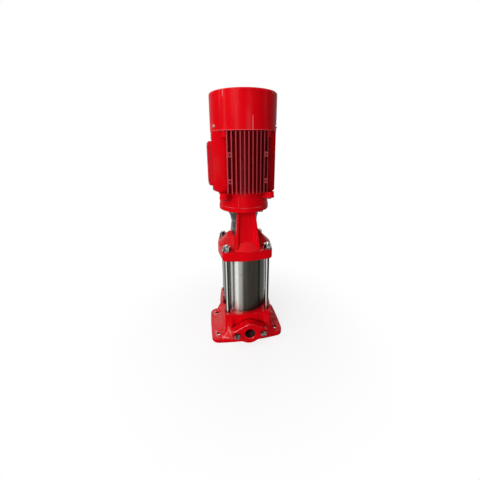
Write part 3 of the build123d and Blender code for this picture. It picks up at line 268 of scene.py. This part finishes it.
def enamel(name, rounding, cast=0.0, streaks=0.0, chips=0.0, gloss=0.5, shade=0.55, reach=0.012,
           extra=None):
    """Gloss red enamel. Cast parts have a lumpy skin under it, sheet parts have long streaks.

    The clear coat pools on faces that look up and fades towards +X, the side turned from the light.
    """
    f = Finish(name)
    cloud = f.noise(9.0, 4.0)
    speck = f.noise(140.0, 3.0)
    streak = f.noise(1.0, 3.0, place=f.stretched(55.0, 55.0, 5.0))
    colour = f.colour_mix(cloud.between(0.35, 0.75, 0.0, 0.30), RED, RED_DEEP)
    colour = f.colour_mix(streak.between(0.55, 0.80, 0.0, 0.30 * streaks), colour, RED_PALE_WEAR_AND_HIGHLIGHT)
    # Painted shade: the red darkened towards RED_SHADE in corners, gaps and under overhangs, within reach
    colour = f.colour_mix(f.hollows(reach) * shade, colour, RED_SHADE)
    rough = 0.22 + 0.14 * speck + 0.10 * streaks * streak
    rim = f.edges(rounding)
    edge_wear_and_highlight = rim * f.noise(45.0, 4.0).between(0.35, 0.75)
    # Pale pink on the edges: partly paint worn thin, partly painted highlight
    colour = f.colour_mix(edge_wear_and_highlight * 0.45, colour, RED_PALE_WEAR_AND_HIGHLIGHT)
    if chips:
        chipped = rim * f.noise(95.0, 5.0, 0.65).between(0.66 - 0.08 * chips, 0.72)
        colour = f.colour_mix(chipped.clamped(), colour, BARE_IRON)
        rough = rough + 0.25 * chipped
    if extra:
        colour = extra(f, colour)
    peel = f.noise(420.0, 2.0)
    lumps = f.noise(70.0, 4.0, 0.6)
    height = peel * 0.10 + lumps * cast + streak * streaks * 0.25
    facing = f.node("SeparateXYZ", {}, f.node("NewGeometry", {}, output="Normal"), output="Z")
    lit_side = f.axis("X").between(-0.02, 0.07, 1.0, 0.12)
    pooled = facing.between(0.12, 0.85) * lit_side * f.noise(38.0, 3.0).between(0.36, 0.64, 0.5, 1.0)
    return f.done(**{
        "Base Color": colour,
        "Roughness": rough,
        "Coat Weight": 0.015 + pooled * gloss,
        "Coat Roughness": 0.06,
        "Specular IOR Level": 0.02,
        "Normal": f.bumps(height, 0.0011, rounding),
    })


def bore_and_far_end_painted_shade(f, colour):
    """Painted shade: the inside of the port's bore near black, and the foot's far end towards +X darkened.
    """
    x = f.axis("X")
    rise = f.axis("Z") - PORT_HEIGHT
    off = f.node("Math", {"operation": "SQRT"}, x * x + rise * rise)
    colour = f.colour_mix((x - FOOT_END).between(0.0, 0.0008, 0.0, 0.55), colour, RED_SHADE)
    return f.colour_mix((PORT_BORE - off).between(0.0, 0.0004), colour, BORE_PAINTED_SHADE)


def fin_tip_painted_sheen(f, colour):
    """Painted sheen: the fins' outer tips in a duller, pinker red."""
    x, y = f.axis("X"), f.axis("Y")
    out = f.node("Math", {"operation": "SQRT"}, x * x + y * y)
    tip = (out - FIN_TIP_START).between(0.0, 0.0008) * (f.axis("Z") - FIN_BOTTOM).between(0.0, 0.0006)
    return f.colour_mix(tip, colour, FIN_TIP_SHEEN)


def cheek_painted_shade(f, colour):
    """Painted shade: the cheeks towards +X, on the side away from the terminal box, darkened towards
    RED_SHADE.
    """
    return f.colour_mix(f.axis("X").between(0.0, 0.002, 0.0, 0.75), colour, RED_SHADE)


def lid_painted_shade(f, colour):
    """Painted shade: the lid a little cooler and darker than the rest of the red."""
    return f.colour_mix(0.55, colour, LID_RED_SHADE)


def seam_wear_and_highlight(f, colour):
    """Weld bead with pale pink flecks on its ripples, partly paint worn off and partly painted highlight."""
    return f.colour_mix(f.noise(500.0, 3.0).between(0.40, 0.62, 0.10, 0.75), colour, SCUFF_AND_HIGHLIGHT)


def joint_painted_highlight(f, colour):
    """Painted highlight: a thin pale line where the motor's flange meets the head."""
    off = f.node("Math", {"operation": "ABSOLUTE"}, f.axis("Z") - FLANGE_JOINT)
    line = off.between(0.0004, 0.0010, 1.0, 0.0) * f.noise(60.0, 3.0).between(0.38, 0.6)
    return f.colour_mix(line * 0.7, colour, RED_PALE_WEAR_AND_HIGHLIGHT)


def parting_line(f, colour):
    """Painted sheen on the fin tips, the painted highlight along the flange's joint and the mould's parting
    line down the drive end shield.
    """
    colour = joint_painted_highlight(f, fin_tip_painted_sheen(f, colour))
    below = f.axis("Z").between(PARTING_TOP - 2 * MM, PARTING_TOP, 1.0, 0.0)
    line = f.stripe(PARTING_BEARING, PARTING_HALF_WIDTH, 0.7) * below
    return f.colour_mix(line * 0.3, colour, RED_PALE_WEAR_AND_HIGHLIGHT)


def cowl_highlights_and_scuffs(f, colour):
    """Painted highlights: pale streaks down the cowl and a pale line along its open edge. Pale marks near
    its top, partly scuffs and partly painted highlights.
    """
    streak_highlight = f.stripes(COWL_HIGHLIGHT_STREAKS, 1.0)
    broken = f.noise(1.0, 4.0, place=f.stretched(30.0, 30.0, 7.0)).between(0.35, 0.65)
    z = f.axis("Z")
    lip_highlight = (COWL_BOTTOM + COWL_LIP - z).between(0.0, 0.0008)
    colour = f.colour_mix((streak_highlight * broken).clamped(), colour, RED_PALE_WEAR_AND_HIGHLIGHT)
    for bearing, half_width, low, high in COWL_SCUFFS_AND_HIGHLIGHTS:
        along = z.between(low, low + 3 * MM) * z.between(high - 2 * MM, high, 1.0, 0.0)
        pale_mark = f.stripe(bearing, half_width, 0.6) * along * f.noise(330.0, 3.0).between(0.35, 0.55)
        colour = f.colour_mix(pale_mark * 0.8, colour, SCUFF_AND_HIGHLIGHT)
    # Painted highlight along the cowl's rolled open edge
    return f.colour_mix(lip_highlight * 0.55, colour, RED_PALE_WEAR_AND_HIGHLIGHT)


def brushed_stainless(name):
    """Rolled stainless sheet: fine lines round the sleeve and faint stains down it, over painted
    reflections: a dark base with light and dark upright bands.
    """
    f = Finish(name)
    lines = f.noise(1.0, 4.0, 0.7, f.stretched(25.0, 25.0, 2600.0))
    grain = f.noise(1.0, 4.0, 0.6, f.stretched(90.0, 90.0, 4.0))
    stains = f.noise(26.0, 5.0, 0.6)
    painted_highlight = f.stripes(SLEEVE_HIGHLIGHTS, 0.75)
    painted_highlight = (painted_highlight * (0.72 + 0.5 * grain) * (1.05 - 0.4 * stains.between(0.5, 0.8))).clamped()
    dull = f.colour_mix(grain.between(0.35, 0.7), STEEL_SHADE, STEEL_BROWN)
    # Painted dark reflections in upright bands
    for bearing, half_width in SLEEVE_SHADOWS:
        dull = f.colour_mix(f.stripe(bearing, half_width, 0.5), dull, STEEL_BLACK)
    colour = f.colour_mix(painted_highlight, dull, STEEL_HIGHLIGHT)
    colour = f.colour_mix(stains.between(0.55, 0.8, 0.0, 0.4), colour, STEEL_STAIN)
    rough = 0.24 + 0.12 * lines + 0.08 * stains
    return f.done(**{
        "Base Color": colour,
        "Metallic": 1.0,
        "Roughness": rough,
        "Anisotropic": 0.8,
        "Anisotropic Rotation": 0.25,
        "Normal": f.bumps(lines, 0.00006),
    })


def drawn_rod(name):
    """Drawn steel rod, its dark base a painted dark reflection, with painted highlight streaks along it."""
    f = Finish(name)
    place = [v - ROD_OFFSET * f.node("Math", {"operation": "SIGN"}, v) for v in (f.axis("X"), f.axis("Y"))]
    grain = f.noise(1.0, 4.0, 0.6, f.stretched(300.0, 300.0, 6.0))
    painted_highlight = f.stripes(ROD_HIGHLIGHT_STREAKS, 0.7, place)
    colour = f.colour_mix(grain.between(0.35, 0.7), STEEL_BLACK, STEEL_SHADE)
    colour = f.colour_mix((painted_highlight * (0.8 + 0.4 * grain)).clamped(), colour, STEEL_HIGHLIGHT)
    return f.done(**{
        "Base Color": colour,
        "Metallic": 1.0,
        "Roughness": 0.20 + 0.15 * grain,
        "Normal": f.bumps(grain, 0.00004),
    })


def plated(name, colour=rgb(0.62, 0.63, 0.64), dull=0.0):
    """Zinc plated fastener: bright, slightly cloudy, dark in its corners."""
    f = Finish(name)
    cloud = f.noise(160.0, 4.0)
    scratch = f.noise(1.0, 3.0, 0.6, f.stretched(700.0, 120.0, 400.0))
    tint = f.colour_mix(cloud.between(0.42, 0.62), colour, STEEL_BLACK)
    # Darker in its corners and gaps
    tint = f.colour_mix(f.hollows(0.004) * 0.7, tint, CORNER_DARKENING)
    return f.done(**{
        "Base Color": tint,
        "Metallic": 1.0,
        "Roughness": 0.20 + dull + 0.18 * cloud,
        "Normal": f.bumps(scratch, 0.00005, 0.0006),
    })


def machined(name, colour, rough=0.3):
    """Turned steel with fine rings from the tool."""
    f = Finish(name)
    rings = f.noise(1.0, 2.0, 0.5, f.stretched(60.0, 60.0, 1800.0))
    oil = f.noise(40.0, 4.0)
    tint = f.colour_mix(oil.between(0.4, 0.75, 0.0, 0.45), colour, OIL_FILM)
    return f.done(**{
        "Base Color": tint,
        "Metallic": 1.0,
        "Roughness": rough + 0.2 * oil,
        "Normal": f.bumps(rings, 0.00005),
    })


def guard_sheet(name):
    """Thin rolled steel sheet of the guards, dark, with painted highlights on its beads and edges."""
    f = Finish(name)
    lines = f.noise(1.0, 3.0, 0.6, f.stretched(40.0, 40.0, 900.0))
    cloud = f.noise(30.0, 4.0)
    tint = f.colour_mix(cloud.between(0.3, 0.7), GUARD_LIGHT, GUARD_DARK)
    tint = f.colour_mix(f.edges(0.0020) * 0.9, tint, GUARD_EDGE_HIGHLIGHT)
    return f.done(**{
        "Base Color": tint,
        "Metallic": 1.0,
        "Roughness": 0.26 + 0.16 * lines,
        "Normal": f.bumps(lines, 0.00005),
    })


def moulded(name, colour, rough=0.45):
    """Moulded plastic or rubber with a fine spark eroded skin."""
    f = Finish(name)
    grain = f.noise(900.0, 2.0)
    dust = f.noise(30.0, 4.0)
    tint = f.colour_mix(dust.between(0.5, 0.85, 0.0, 0.35), colour, DUST)
    return f.done(**{
        "Base Color": tint,
        "Roughness": rough + 0.2 * dust,
        "Specular IOR Level": 0.4,
        "Normal": f.bumps(grain, 0.00008, 0.0004),
    })


def wound_copper(name):
    """Varnished copper end winding: strands round the bore."""
    f = Finish(name)
    strands = f.noise(1.0, 2.0, 0.5, f.stretched(160.0, 160.0, 900.0))
    tint = f.colour_mix(strands, COPPER_LIGHT, COPPER_DARK)
    return f.done(**{
        "Base Color": tint,
        "Metallic": 0.6,
        "Roughness": 0.42,
        "Normal": f.bumps(strands, 0.0006),
    })


def laminated(name):
    """Stacked core plates: thin lines across the stack."""
    f = Finish(name)
    plates = f.node("TexWave", {"bands_direction": "Z"}, Vector=f.place, Scale=320.0, Distortion=0.4,
                    output="Fac")
    tint = f.colour_mix(plates, PLATE_EDGE, PLATE_FACE)
    return f.done(**{
        "Base Color": tint,
        "Metallic": 0.9,
        "Roughness": 0.45,
        "Normal": f.bumps(plates, 0.0002),
    })


cast_red = enamel("cast_red", rounding=0.0016, cast=0.55, chips=0.6, gloss=1.0, extra=bore_and_far_end_painted_shade)
head_red = enamel("head_red", rounding=0.0016, cast=0.55, chips=0.6, gloss=0.35, extra=joint_painted_highlight)
# Long reach of painted shade, which darkens the gaps between the fins
housing_red = enamel("housing_red", rounding=0.0007, cast=0.18, gloss=0.3, shade=0.90, reach=0.030,
                     extra=parting_line)
lid_red = enamel("lid_red", rounding=0.0016, cast=0.10, gloss=0.6, extra=lid_painted_shade)
sheet_red = enamel("sheet_red", rounding=0.0008, cast=0.05, streaks=0.45, chips=0.5, gloss=0.2,
                   extra=cowl_highlights_and_scuffs)
box_red = enamel("box_red", rounding=0.0010, cast=0.10, gloss=0.3)
# Cheeks with painted shade reaching further, darker under the cowl's edge and in their corners
cheek_red = enamel("cheek_red", rounding=0.0010, cast=0.14, gloss=0.4, shade=0.85, reach=0.018,
                   extra=cheek_painted_shade)
seam_red = enamel("seam_red", rounding=0.0004, gloss=1.0, extra=seam_wear_and_highlight)
sleeve_steel = brushed_stainless("sleeve_steel")
zinc = plated("zinc")
dark_zinc = plated("dark_zinc", rgb(0.20, 0.19, 0.17), 0.08)
nut_zinc = plated("nut_zinc", rgb(0.36, 0.36, 0.35), 0.02)
rod_steel = drawn_rod("rod_steel")
guard_steel = guard_sheet("guard_steel")
# Threads inside the port's bore near black: painted shade in the bore
bore_thread_painted_shade = moulded("bore_thread_painted_shade", rgb(0.012, 0.005, 0.004), 0.7)
# Near black bolts under the drive end shield's lugs: painted shade under the lugs
shield_bolt_painted_shade = plated("shield_bolt_painted_shade", rgb(0.035, 0.032, 0.030), 0.15)
shaft_steel = machined("shaft_steel", rgb(0.55, 0.55, 0.56))
pressed_steel = machined("pressed_steel", rgb(0.48, 0.48, 0.46), 0.34)
black_plastic = moulded("black_plastic", rgb(0.018, 0.018, 0.020))
rubber = moulded("rubber", rgb(0.012, 0.012, 0.012), 0.6)
ceramic = moulded("ceramic", rgb(0.05, 0.05, 0.055), 0.2)
copper = wound_copper("copper")
core_plates = laminated("core_plates")
cast_aluminium = machined("cast_aluminium", rgb(0.60, 0.60, 0.61), 0.42)

FINISHES = {
    cast_red: ("base_casting", "inlet_flange", "outlet_flange"),
    head_red: ("pump_head",),
    housing_red: ("motor_housing", "drive_end_shield", "rear_end_shield"),
    sheet_red: ("fan_cowl",),
    box_red: ("terminal_box",),
    lid_red: ("terminal_box_lid",),
    sleeve_steel: ("outer_sleeve",),
    guard_steel: ("coupling_guard_left", "coupling_guard_right"),
    pressed_steel: ("suction_plate", "stage_chambers", "discharge_bell", "impellers", "shaft_spacers",
                    "seal_cover", "seal_rotor"),
    nut_zinc: ("rod_washers", "rod_nuts"),
    zinc: ("drain_plug", "shaft_nut", "vent_plug", "guard_screws",
           "coupling_bolts", "cowl_screws", "fan_clip", "lid_screws"),
    dark_zinc: ("port_flange_bolts", "motor_flange_bolts", "rear_shield_screws"),
    shield_bolt_painted_shade: ("drive_shield_bolts",),
    rod_steel: ("tie_rods",),
    shaft_steel: ("pump_shaft", "motor_shaft", "coupling_halves", "bearing_outer_races",
                  "bearing_inner_races", "bearing_balls"),
    black_plastic: ("neck_rings", "cooling_fan", "terminal_block", "cable_gland"),
    rubber: ("port_gaskets", "sleeve_gaskets", "lid_gasket"),
    ceramic: ("shaft_bushes", "seal_seat"),
    copper: ("stator_windings",),
    core_plates: ("stator_core",),
    cast_aluminium: ("rotor_core",),
}


def dress(node_name, material):
    """Give a carried-over node its finish."""
    mesh = nodes[node_name].data
    mesh.materials.clear()
    mesh.materials.append(material)


for material, names in FINISHES.items():
    for node_name in names:
        dress(node_name, material)


# Small pieces

def new_piece(name, mesh, body, material):
    """Link a finished mesh as a piece that rides on a body."""
    piece = linked(name, mesh)
    mesh.materials.clear()
    mesh.materials.append(material)
    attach(piece, body)
    return piece


def applied(piece_name, source):
    """Plain mesh of an object with its modifiers worked out, the object itself removed."""
    graph = bpy.context.evaluated_depsgraph_get()
    mesh = bpy.data.meshes.new_from_object(source.evaluated_get(graph))
    mesh.name = piece_name
    bpy.data.objects.remove(source)
    return mesh


def poured(name, shape):
    """Mesh made from a shape under construction, which is freed."""
    mesh = bpy.data.meshes.new(name)
    shape.to_mesh(mesh)
    shape.free()
    return mesh


def linked(name, mesh):
    """Object of a mesh, a lamp or a camera, in the scene."""
    thing = bpy.data.objects.new(name, mesh)
    bpy.context.collection.objects.link(thing)
    return thing


def smooth_to(mesh, degrees):
    """Smooth shading with sharp edges past an angle."""
    mesh.shade_smooth()
    mesh.set_sharp_from_angle(angle=radians(degrees))


def slab(outline, near, far, rounding):
    """Plate on an outline of x and z corners in millimetres, between two y faces, its edges rounded."""
    shape = bmesh.new()
    front = [shape.verts.new((x * MM, near * MM, z * MM)) for x, z in outline]
    back = [shape.verts.new((x * MM, far * MM, z * MM)) for x, z in outline]
    count = len(outline)
    shape.faces.new(front[::-1])
    shape.faces.new(back)
    for n in range(count):
        shape.faces.new((front[n], front[(n + 1) % count], back[(n + 1) % count], back[n]))
    bmesh.ops.recalc_face_normals(shape, faces=shape.faces)
    bmesh.ops.bevel(shape, geom=list(shape.edges), offset=rounding * MM, segments=3, affect="EDGES",
                    profile=0.5)
    return shape


def corner_cheeks():
    """Smooth cheeks that close the corners between the front, rear and side fins.

    Millimetres. The one beside the terminal box, in front, is wider, thicker and cut off more at its foot.
    """
    low = 461.0
    high = 611.8
    root = 45.5
    face = 55.9
    back = 50.4
    reach = 74.5
    cut = 5.0
    wide_back = 45.6
    wide_reach = 87.2
    wide_cut = 16.0
    edge_round = 1.0
    whole = bmesh.new()
    for side, far_end, corner, near, far in ((-1, wide_reach, wide_cut, -face, -wide_back),
                                             (1, reach, cut, -face, -back), (1, reach, cut, back, face),
                                             (-1, reach, cut, back, face)):
        outline = [(side * root, low), (side * (far_end - corner), low), (side * far_end, low + corner),
                   (side * far_end, high), (side * root, high)]
        mesh = poured("cheek_part", slab(outline, near, far, edge_round))
        whole.from_mesh(mesh)
        bpy.data.meshes.remove(mesh)
    bmesh.ops.recalc_face_normals(whole, faces=whole.faces)
    mesh = poured("corner_cheeks", whole)
    smooth_to(mesh, 35)
    new_piece("corner_cheeks", mesh, STILL, cheek_red)


def relieved_base():
    """The base casting with its foot hollowed from below round each anchor hole. Millimetres."""
    anchor_x = 90
    anchor_y = 50
    pocket_start = -3
    pocket_top = 9
    pocket_radius = 13
    pocket_top_radius = 11
    shape = bmesh.new()
    shape.from_mesh(nodes["base_casting"].data)
    bmesh.ops.remove_doubles(shape, verts=shape.verts, dist=1e-6)
    casting = linked("foot_casting", poured("foot_casting", shape))
    cutter = bmesh.new()
    for x in (-anchor_x, anchor_x):
        for y in (-anchor_y, anchor_y):
            place = Matrix.Translation((x * MM, y * MM, (pocket_start + pocket_top) / 2 * MM))
            bmesh.ops.create_cone(cutter, cap_ends=True, segments=40, radius1=pocket_radius * MM,
                                  radius2=pocket_top_radius * MM, depth=(pocket_top - pocket_start) * MM,
                                  matrix=place)
    pockets = linked("foot_pockets", poured("foot_pockets", cutter))
    carve = casting.modifiers.new("pockets", "BOOLEAN")
    carve.operation = "DIFFERENCE"
    carve.solver = "EXACT"
    carve.object = pockets
    bpy.context.view_layer.update()
    finished = applied("base_with_pockets", casting)
    bpy.data.objects.remove(pockets)
    smooth_to(finished, 28)
    piece = new_piece("base_with_pockets", finished, STILL, cast_red)
    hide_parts("base_casting")


# Geometry Nodes

class Recipe:
    """A Geometry Nodes tree under construction, with named inputs."""

    def __init__(self, name, **numbers):
        self.tree = bpy.data.node_groups.new(name, "GeometryNodeTree")
        self.tree.interface.new_socket("Geometry", in_out="INPUT", socket_type="NodeSocketGeometry")
        self.sockets = {}
        for label, value in numbers.items():
            kind = "NodeSocketInt" if isinstance(value, int) else "NodeSocketFloat"
            socket = self.tree.interface.new_socket(label, in_out="INPUT", socket_type=kind)
            socket.default_value = value
            self.sockets[label] = socket.identifier
        self.tree.interface.new_socket("Geometry", in_out="OUTPUT", socket_type="NodeSocketGeometry")
        self.start = self.tree.nodes.new("NodeGroupInput")
        self.numbers = numbers

    def given(self, label):
        """Output socket of a named input."""
        return self.start.outputs[label]

    def node(self, kind, settings, *values, **named):
        """Add a node, set it up, fill its sockets and return its first output socket."""
        node = self.tree.nodes.new(kind)
        for key, setting in settings.items():
            setattr(node, key, setting)
        pairs = list(zip(node.inputs, values)) + [(node.inputs[key], value) for key, value in named.items()]
        for socket, value in pairs:
            if isinstance(value, bpy.types.NodeSocket):
                self.tree.links.new(value, socket)
            elif value is not None:
                socket.default_value = value
        return node.outputs[0]

    def made(self, name, geometry, material):
        """Close the tree, run it on an object and return the plain mesh."""
        real = self.node("GeometryNodeRealizeInstances", {}, geometry)
        done = self.node("GeometryNodeSetMaterial", {}, real, Material=material)
        end = self.tree.nodes.new("NodeGroupOutput")
        self.tree.links.new(done, end.inputs[0])
        carrier = linked(name, bpy.data.meshes.new(name))
        modifier = carrier.modifiers.new(name, "NODES")
        modifier.node_group = self.tree
        for label, value in self.numbers.items():
            modifier[self.sockets[label]] = value
        bpy.context.view_layer.update()
        return applied(name, carrier)


def weld_seam():
    """Bead of weld ripples up the lower part of the cowl's seam."""
    recipe = Recipe("weld_seam_recipe", Ripples=34, Size=0.9 * MM, Seed=7)
    line = recipe.node("GeometryNodeMeshLine", {"mode": "END_POINTS"}, Count=recipe.given("Ripples"))
    line.node.inputs["Offset"].default_value = (0.0, 0.0, SEAM_LENGTH)
    blob = recipe.node("GeometryNodeMeshUVSphere", {}, Segments=10, Rings=6, Radius=recipe.given("Size"))
    spread = recipe.node("FunctionNodeRandomValue", {"data_type": "FLOAT_VECTOR"}, Seed=recipe.given("Seed"))
    spread.node.inputs[0].default_value = (0.7, 0.30, 0.8)
    spread.node.inputs[1].default_value = (1.1, 0.45, 1.3)
    drops = recipe.node("GeometryNodeInstanceOnPoints", {}, Points=line, Instance=blob, Scale=spread)
    mesh = recipe.made("weld_seam", drops, seam_red)
    bearing = radians(SEAM_BEARING)
    place = Matrix.Translation((COWL_RADIUS * cos(bearing), COWL_RADIUS * sin(bearing),
                                COWL_BOTTOM + SEAM_RISE))
    mesh.transform(place @ Matrix.Rotation(bearing + pi / 2, 4, "Z"))
    smooth_to(mesh, 60)
    new_piece("weld_seam", mesh, STILL, seam_red)


def thread(name, material, radius, depth, pitch, turns, places):
    """Screw thread standing on a rod or in a bore, one turned and moved for each place."""
    recipe = Recipe(name + "_recipe", Radius=radius, Pitch=pitch, Turns=turns, Depth=depth)
    around = recipe.given("Radius")
    height = recipe.node("ShaderNodeMath", {"operation": "MULTIPLY"}, recipe.given("Pitch"),
                         recipe.given("Turns"))
    path = recipe.node("GeometryNodeCurveSpiral", {}, Resolution=32, Rotations=recipe.given("Turns"),
                       Height=height, **{"Start Radius": around, "End Radius": around})
    crest = recipe.node("GeometryNodeCurvePrimitiveCircle", {}, Resolution=3, Radius=recipe.given("Depth"))
    ridge = recipe.node("GeometryNodeCurveToMesh", {}, path, crest, **{"Fill Caps": True})
    mesh = recipe.made(name, ridge, material)
    whole = bmesh.new()
    for place in places:
        copy = mesh.copy()
        copy.transform(place)
        whole.from_mesh(copy)
        bpy.data.meshes.remove(copy)
    bmesh.ops.recalc_face_normals(whole, faces=whole.faces)
    whole.to_mesh(mesh)
    whole.free()
    smooth_to(mesh, 40)
    new_piece(name, mesh, STILL, material)


corner_cheeks()
relieved_base()
weld_seam()
thread("rod_thread_ends", zinc, radius=5.9 * MM, depth=0.35 * MM, pitch=0.75 * MM, turns=4.0,
       places=[Matrix.Translation((x, y, ROD_END)) for x in (-ROD_OFFSET, ROD_OFFSET)
               for y in (-ROD_OFFSET, ROD_OFFSET)])
thread("port_threads", bore_thread_painted_shade, radius=15.1 * MM, depth=0.7 * MM, pitch=2.3 * MM, turns=7.0,
       places=[Matrix.Rotation(radians(turn), 4, "Z") @ Matrix.Translation((0.0, 0.0, PORT_HEIGHT))
               @ Matrix.Rotation(radians(90), 4, "X") @ Matrix.Translation((0.0, 0.0, PORT_THREAD_START))
               for turn in (0, 180)])


# Floor, light and camera

SHADOW_REACH = (0.12, 0.5)
SHADOW_LIGHTENED = 0.80
STUDIO_LEVEL = 0.09

# Camera in metres, its direction and upright, and the lens in pixels of the photograph
CAMERA_PLACE = (-0.1082, -0.6822, 0.5855)
CAMERA_LOOK = (0.1509, 0.9457, -0.2878)
CAMERA_UP = (0.0526, 0.2830, 0.9577)
FOCAL_PIXELS = 244.33
FRAME_PIXELS = 480
CENTRE_PIXEL = (244.0, 216.0)
SENSOR_WIDTH = 36.0

# Name, place, aim, width and height of each soft box in metres, and its watts
LAMPS = (
    ("key_left", (-1.12, -1.60, 1.42), (0.0, 0.0, 0.26), (1.2, 1.2), 29.0),
    ("side_left", (-1.62, -0.56, 0.75), (0.0, 0.0, 0.35), (0.35, 1.1), 8.0),
    ("front_low", (-0.40, -1.90, 0.28), (0.0, 0.0, 0.12), (0.8, 0.5), 9.5),
    ("back_soft", (0.5, 1.9, 1.3), (0.0, 0.0, 0.38), (1.2, 1.2), 9.0),
    ("top_soft", (-0.3, -0.3, 2.2), (0.0, 0.0, 0.4), (0.9, 0.9), 9.0),
)


def floor_white():
    """Floor that shows white, and near the pump takes its shadow, but throws little light back up."""
    f = Finish("floor_white")
    out = f.node("VectorMath", {"operation": "LENGTH"}, f.place, output="Value")
    far = out.between(*SHADOW_REACH, SHADOW_LIGHTENED, 1.0)
    white = f.node("BsdfDiffuse", {}, Color=rgb(0.95, 0.95, 0.95))
    glow = f.node("Emission", {}, Color=WHITE, Strength=1.0)
    shown = f.node("MixShader", {}, far, white, glow)
    grey = f.node("BsdfDiffuse", {}, Color=rgb(0.30, 0.30, 0.30))
    mixed = f.node("MixShader", {}, f.seen_directly(), grey, shown)
    f.node("OutputMaterial", {}, Surface=mixed)
    return f.material


def add_floor():
    """Wide plain floor under the pump."""
    reach = 6.0
    mesh = bpy.data.meshes.new("floor")
    corners = [(-reach, -reach, 0), (reach, -reach, 0), (reach, reach, 0), (-reach, reach, 0)]
    mesh.from_pydata(corners, [], [(0, 1, 2, 3)])
    floor = linked("floor", mesh)
    mesh.materials.append(floor_white())


def add_world():
    """White where it is seen, a plain grey studio as a source of light."""
    world = bpy.data.worlds.new("studio")
    bpy.context.scene.world = world
    w = Shading(world)
    light = w.node("Background", {}, Color=WHITE, Strength=STUDIO_LEVEL)
    shown = w.node("Background", {}, Color=WHITE, Strength=1.0)
    w.node("OutputWorld", {}, Surface=w.node("MixShader", {}, w.seen_directly(), light, shown))


def add_lamp(name, place, aim, size, power):
    """Soft box that faces a point of the pump."""
    lamp = bpy.data.lights.new(name, "AREA")
    lamp.shape = "RECTANGLE"
    lamp.size, lamp.size_y = size
    lamp.energy = power
    holder = linked(name, lamp)
    holder.location = place
    holder.rotation_euler = (Vector(aim) - Vector(place)).to_track_quat("-Z", "Y").to_euler()


def add_camera():
    """Camera at the photograph's place, measured by fitting a pinhole to known sizes."""
    look = Vector(CAMERA_LOOK).normalized()
    right = look.cross(Vector(CAMERA_UP)).normalized()
    up = right.cross(look)
    data = bpy.data.cameras.new("photo_camera")
    data.sensor_width = SENSOR_WIDTH
    data.lens = SENSOR_WIDTH * FOCAL_PIXELS / FRAME_PIXELS
    centre_x, centre_y = CENTRE_PIXEL
    data.shift_x = (FRAME_PIXELS / 2 - centre_x) / FRAME_PIXELS
    data.shift_y = (centre_y - FRAME_PIXELS / 2) / FRAME_PIXELS
    data.clip_start = 0.01
    camera = linked("photo_camera", data)
    turn = Matrix((right, up, -look)).transposed()
    camera.matrix_world = Matrix.Translation(CAMERA_PLACE) @ turn.to_4x4()
    bpy.context.scene.camera = camera


add_floor()
add_world()
for soft_box in LAMPS:
    add_lamp(*soft_box)
add_camera()

bpy.context.scene.view_settings.view_transform = "Standard"
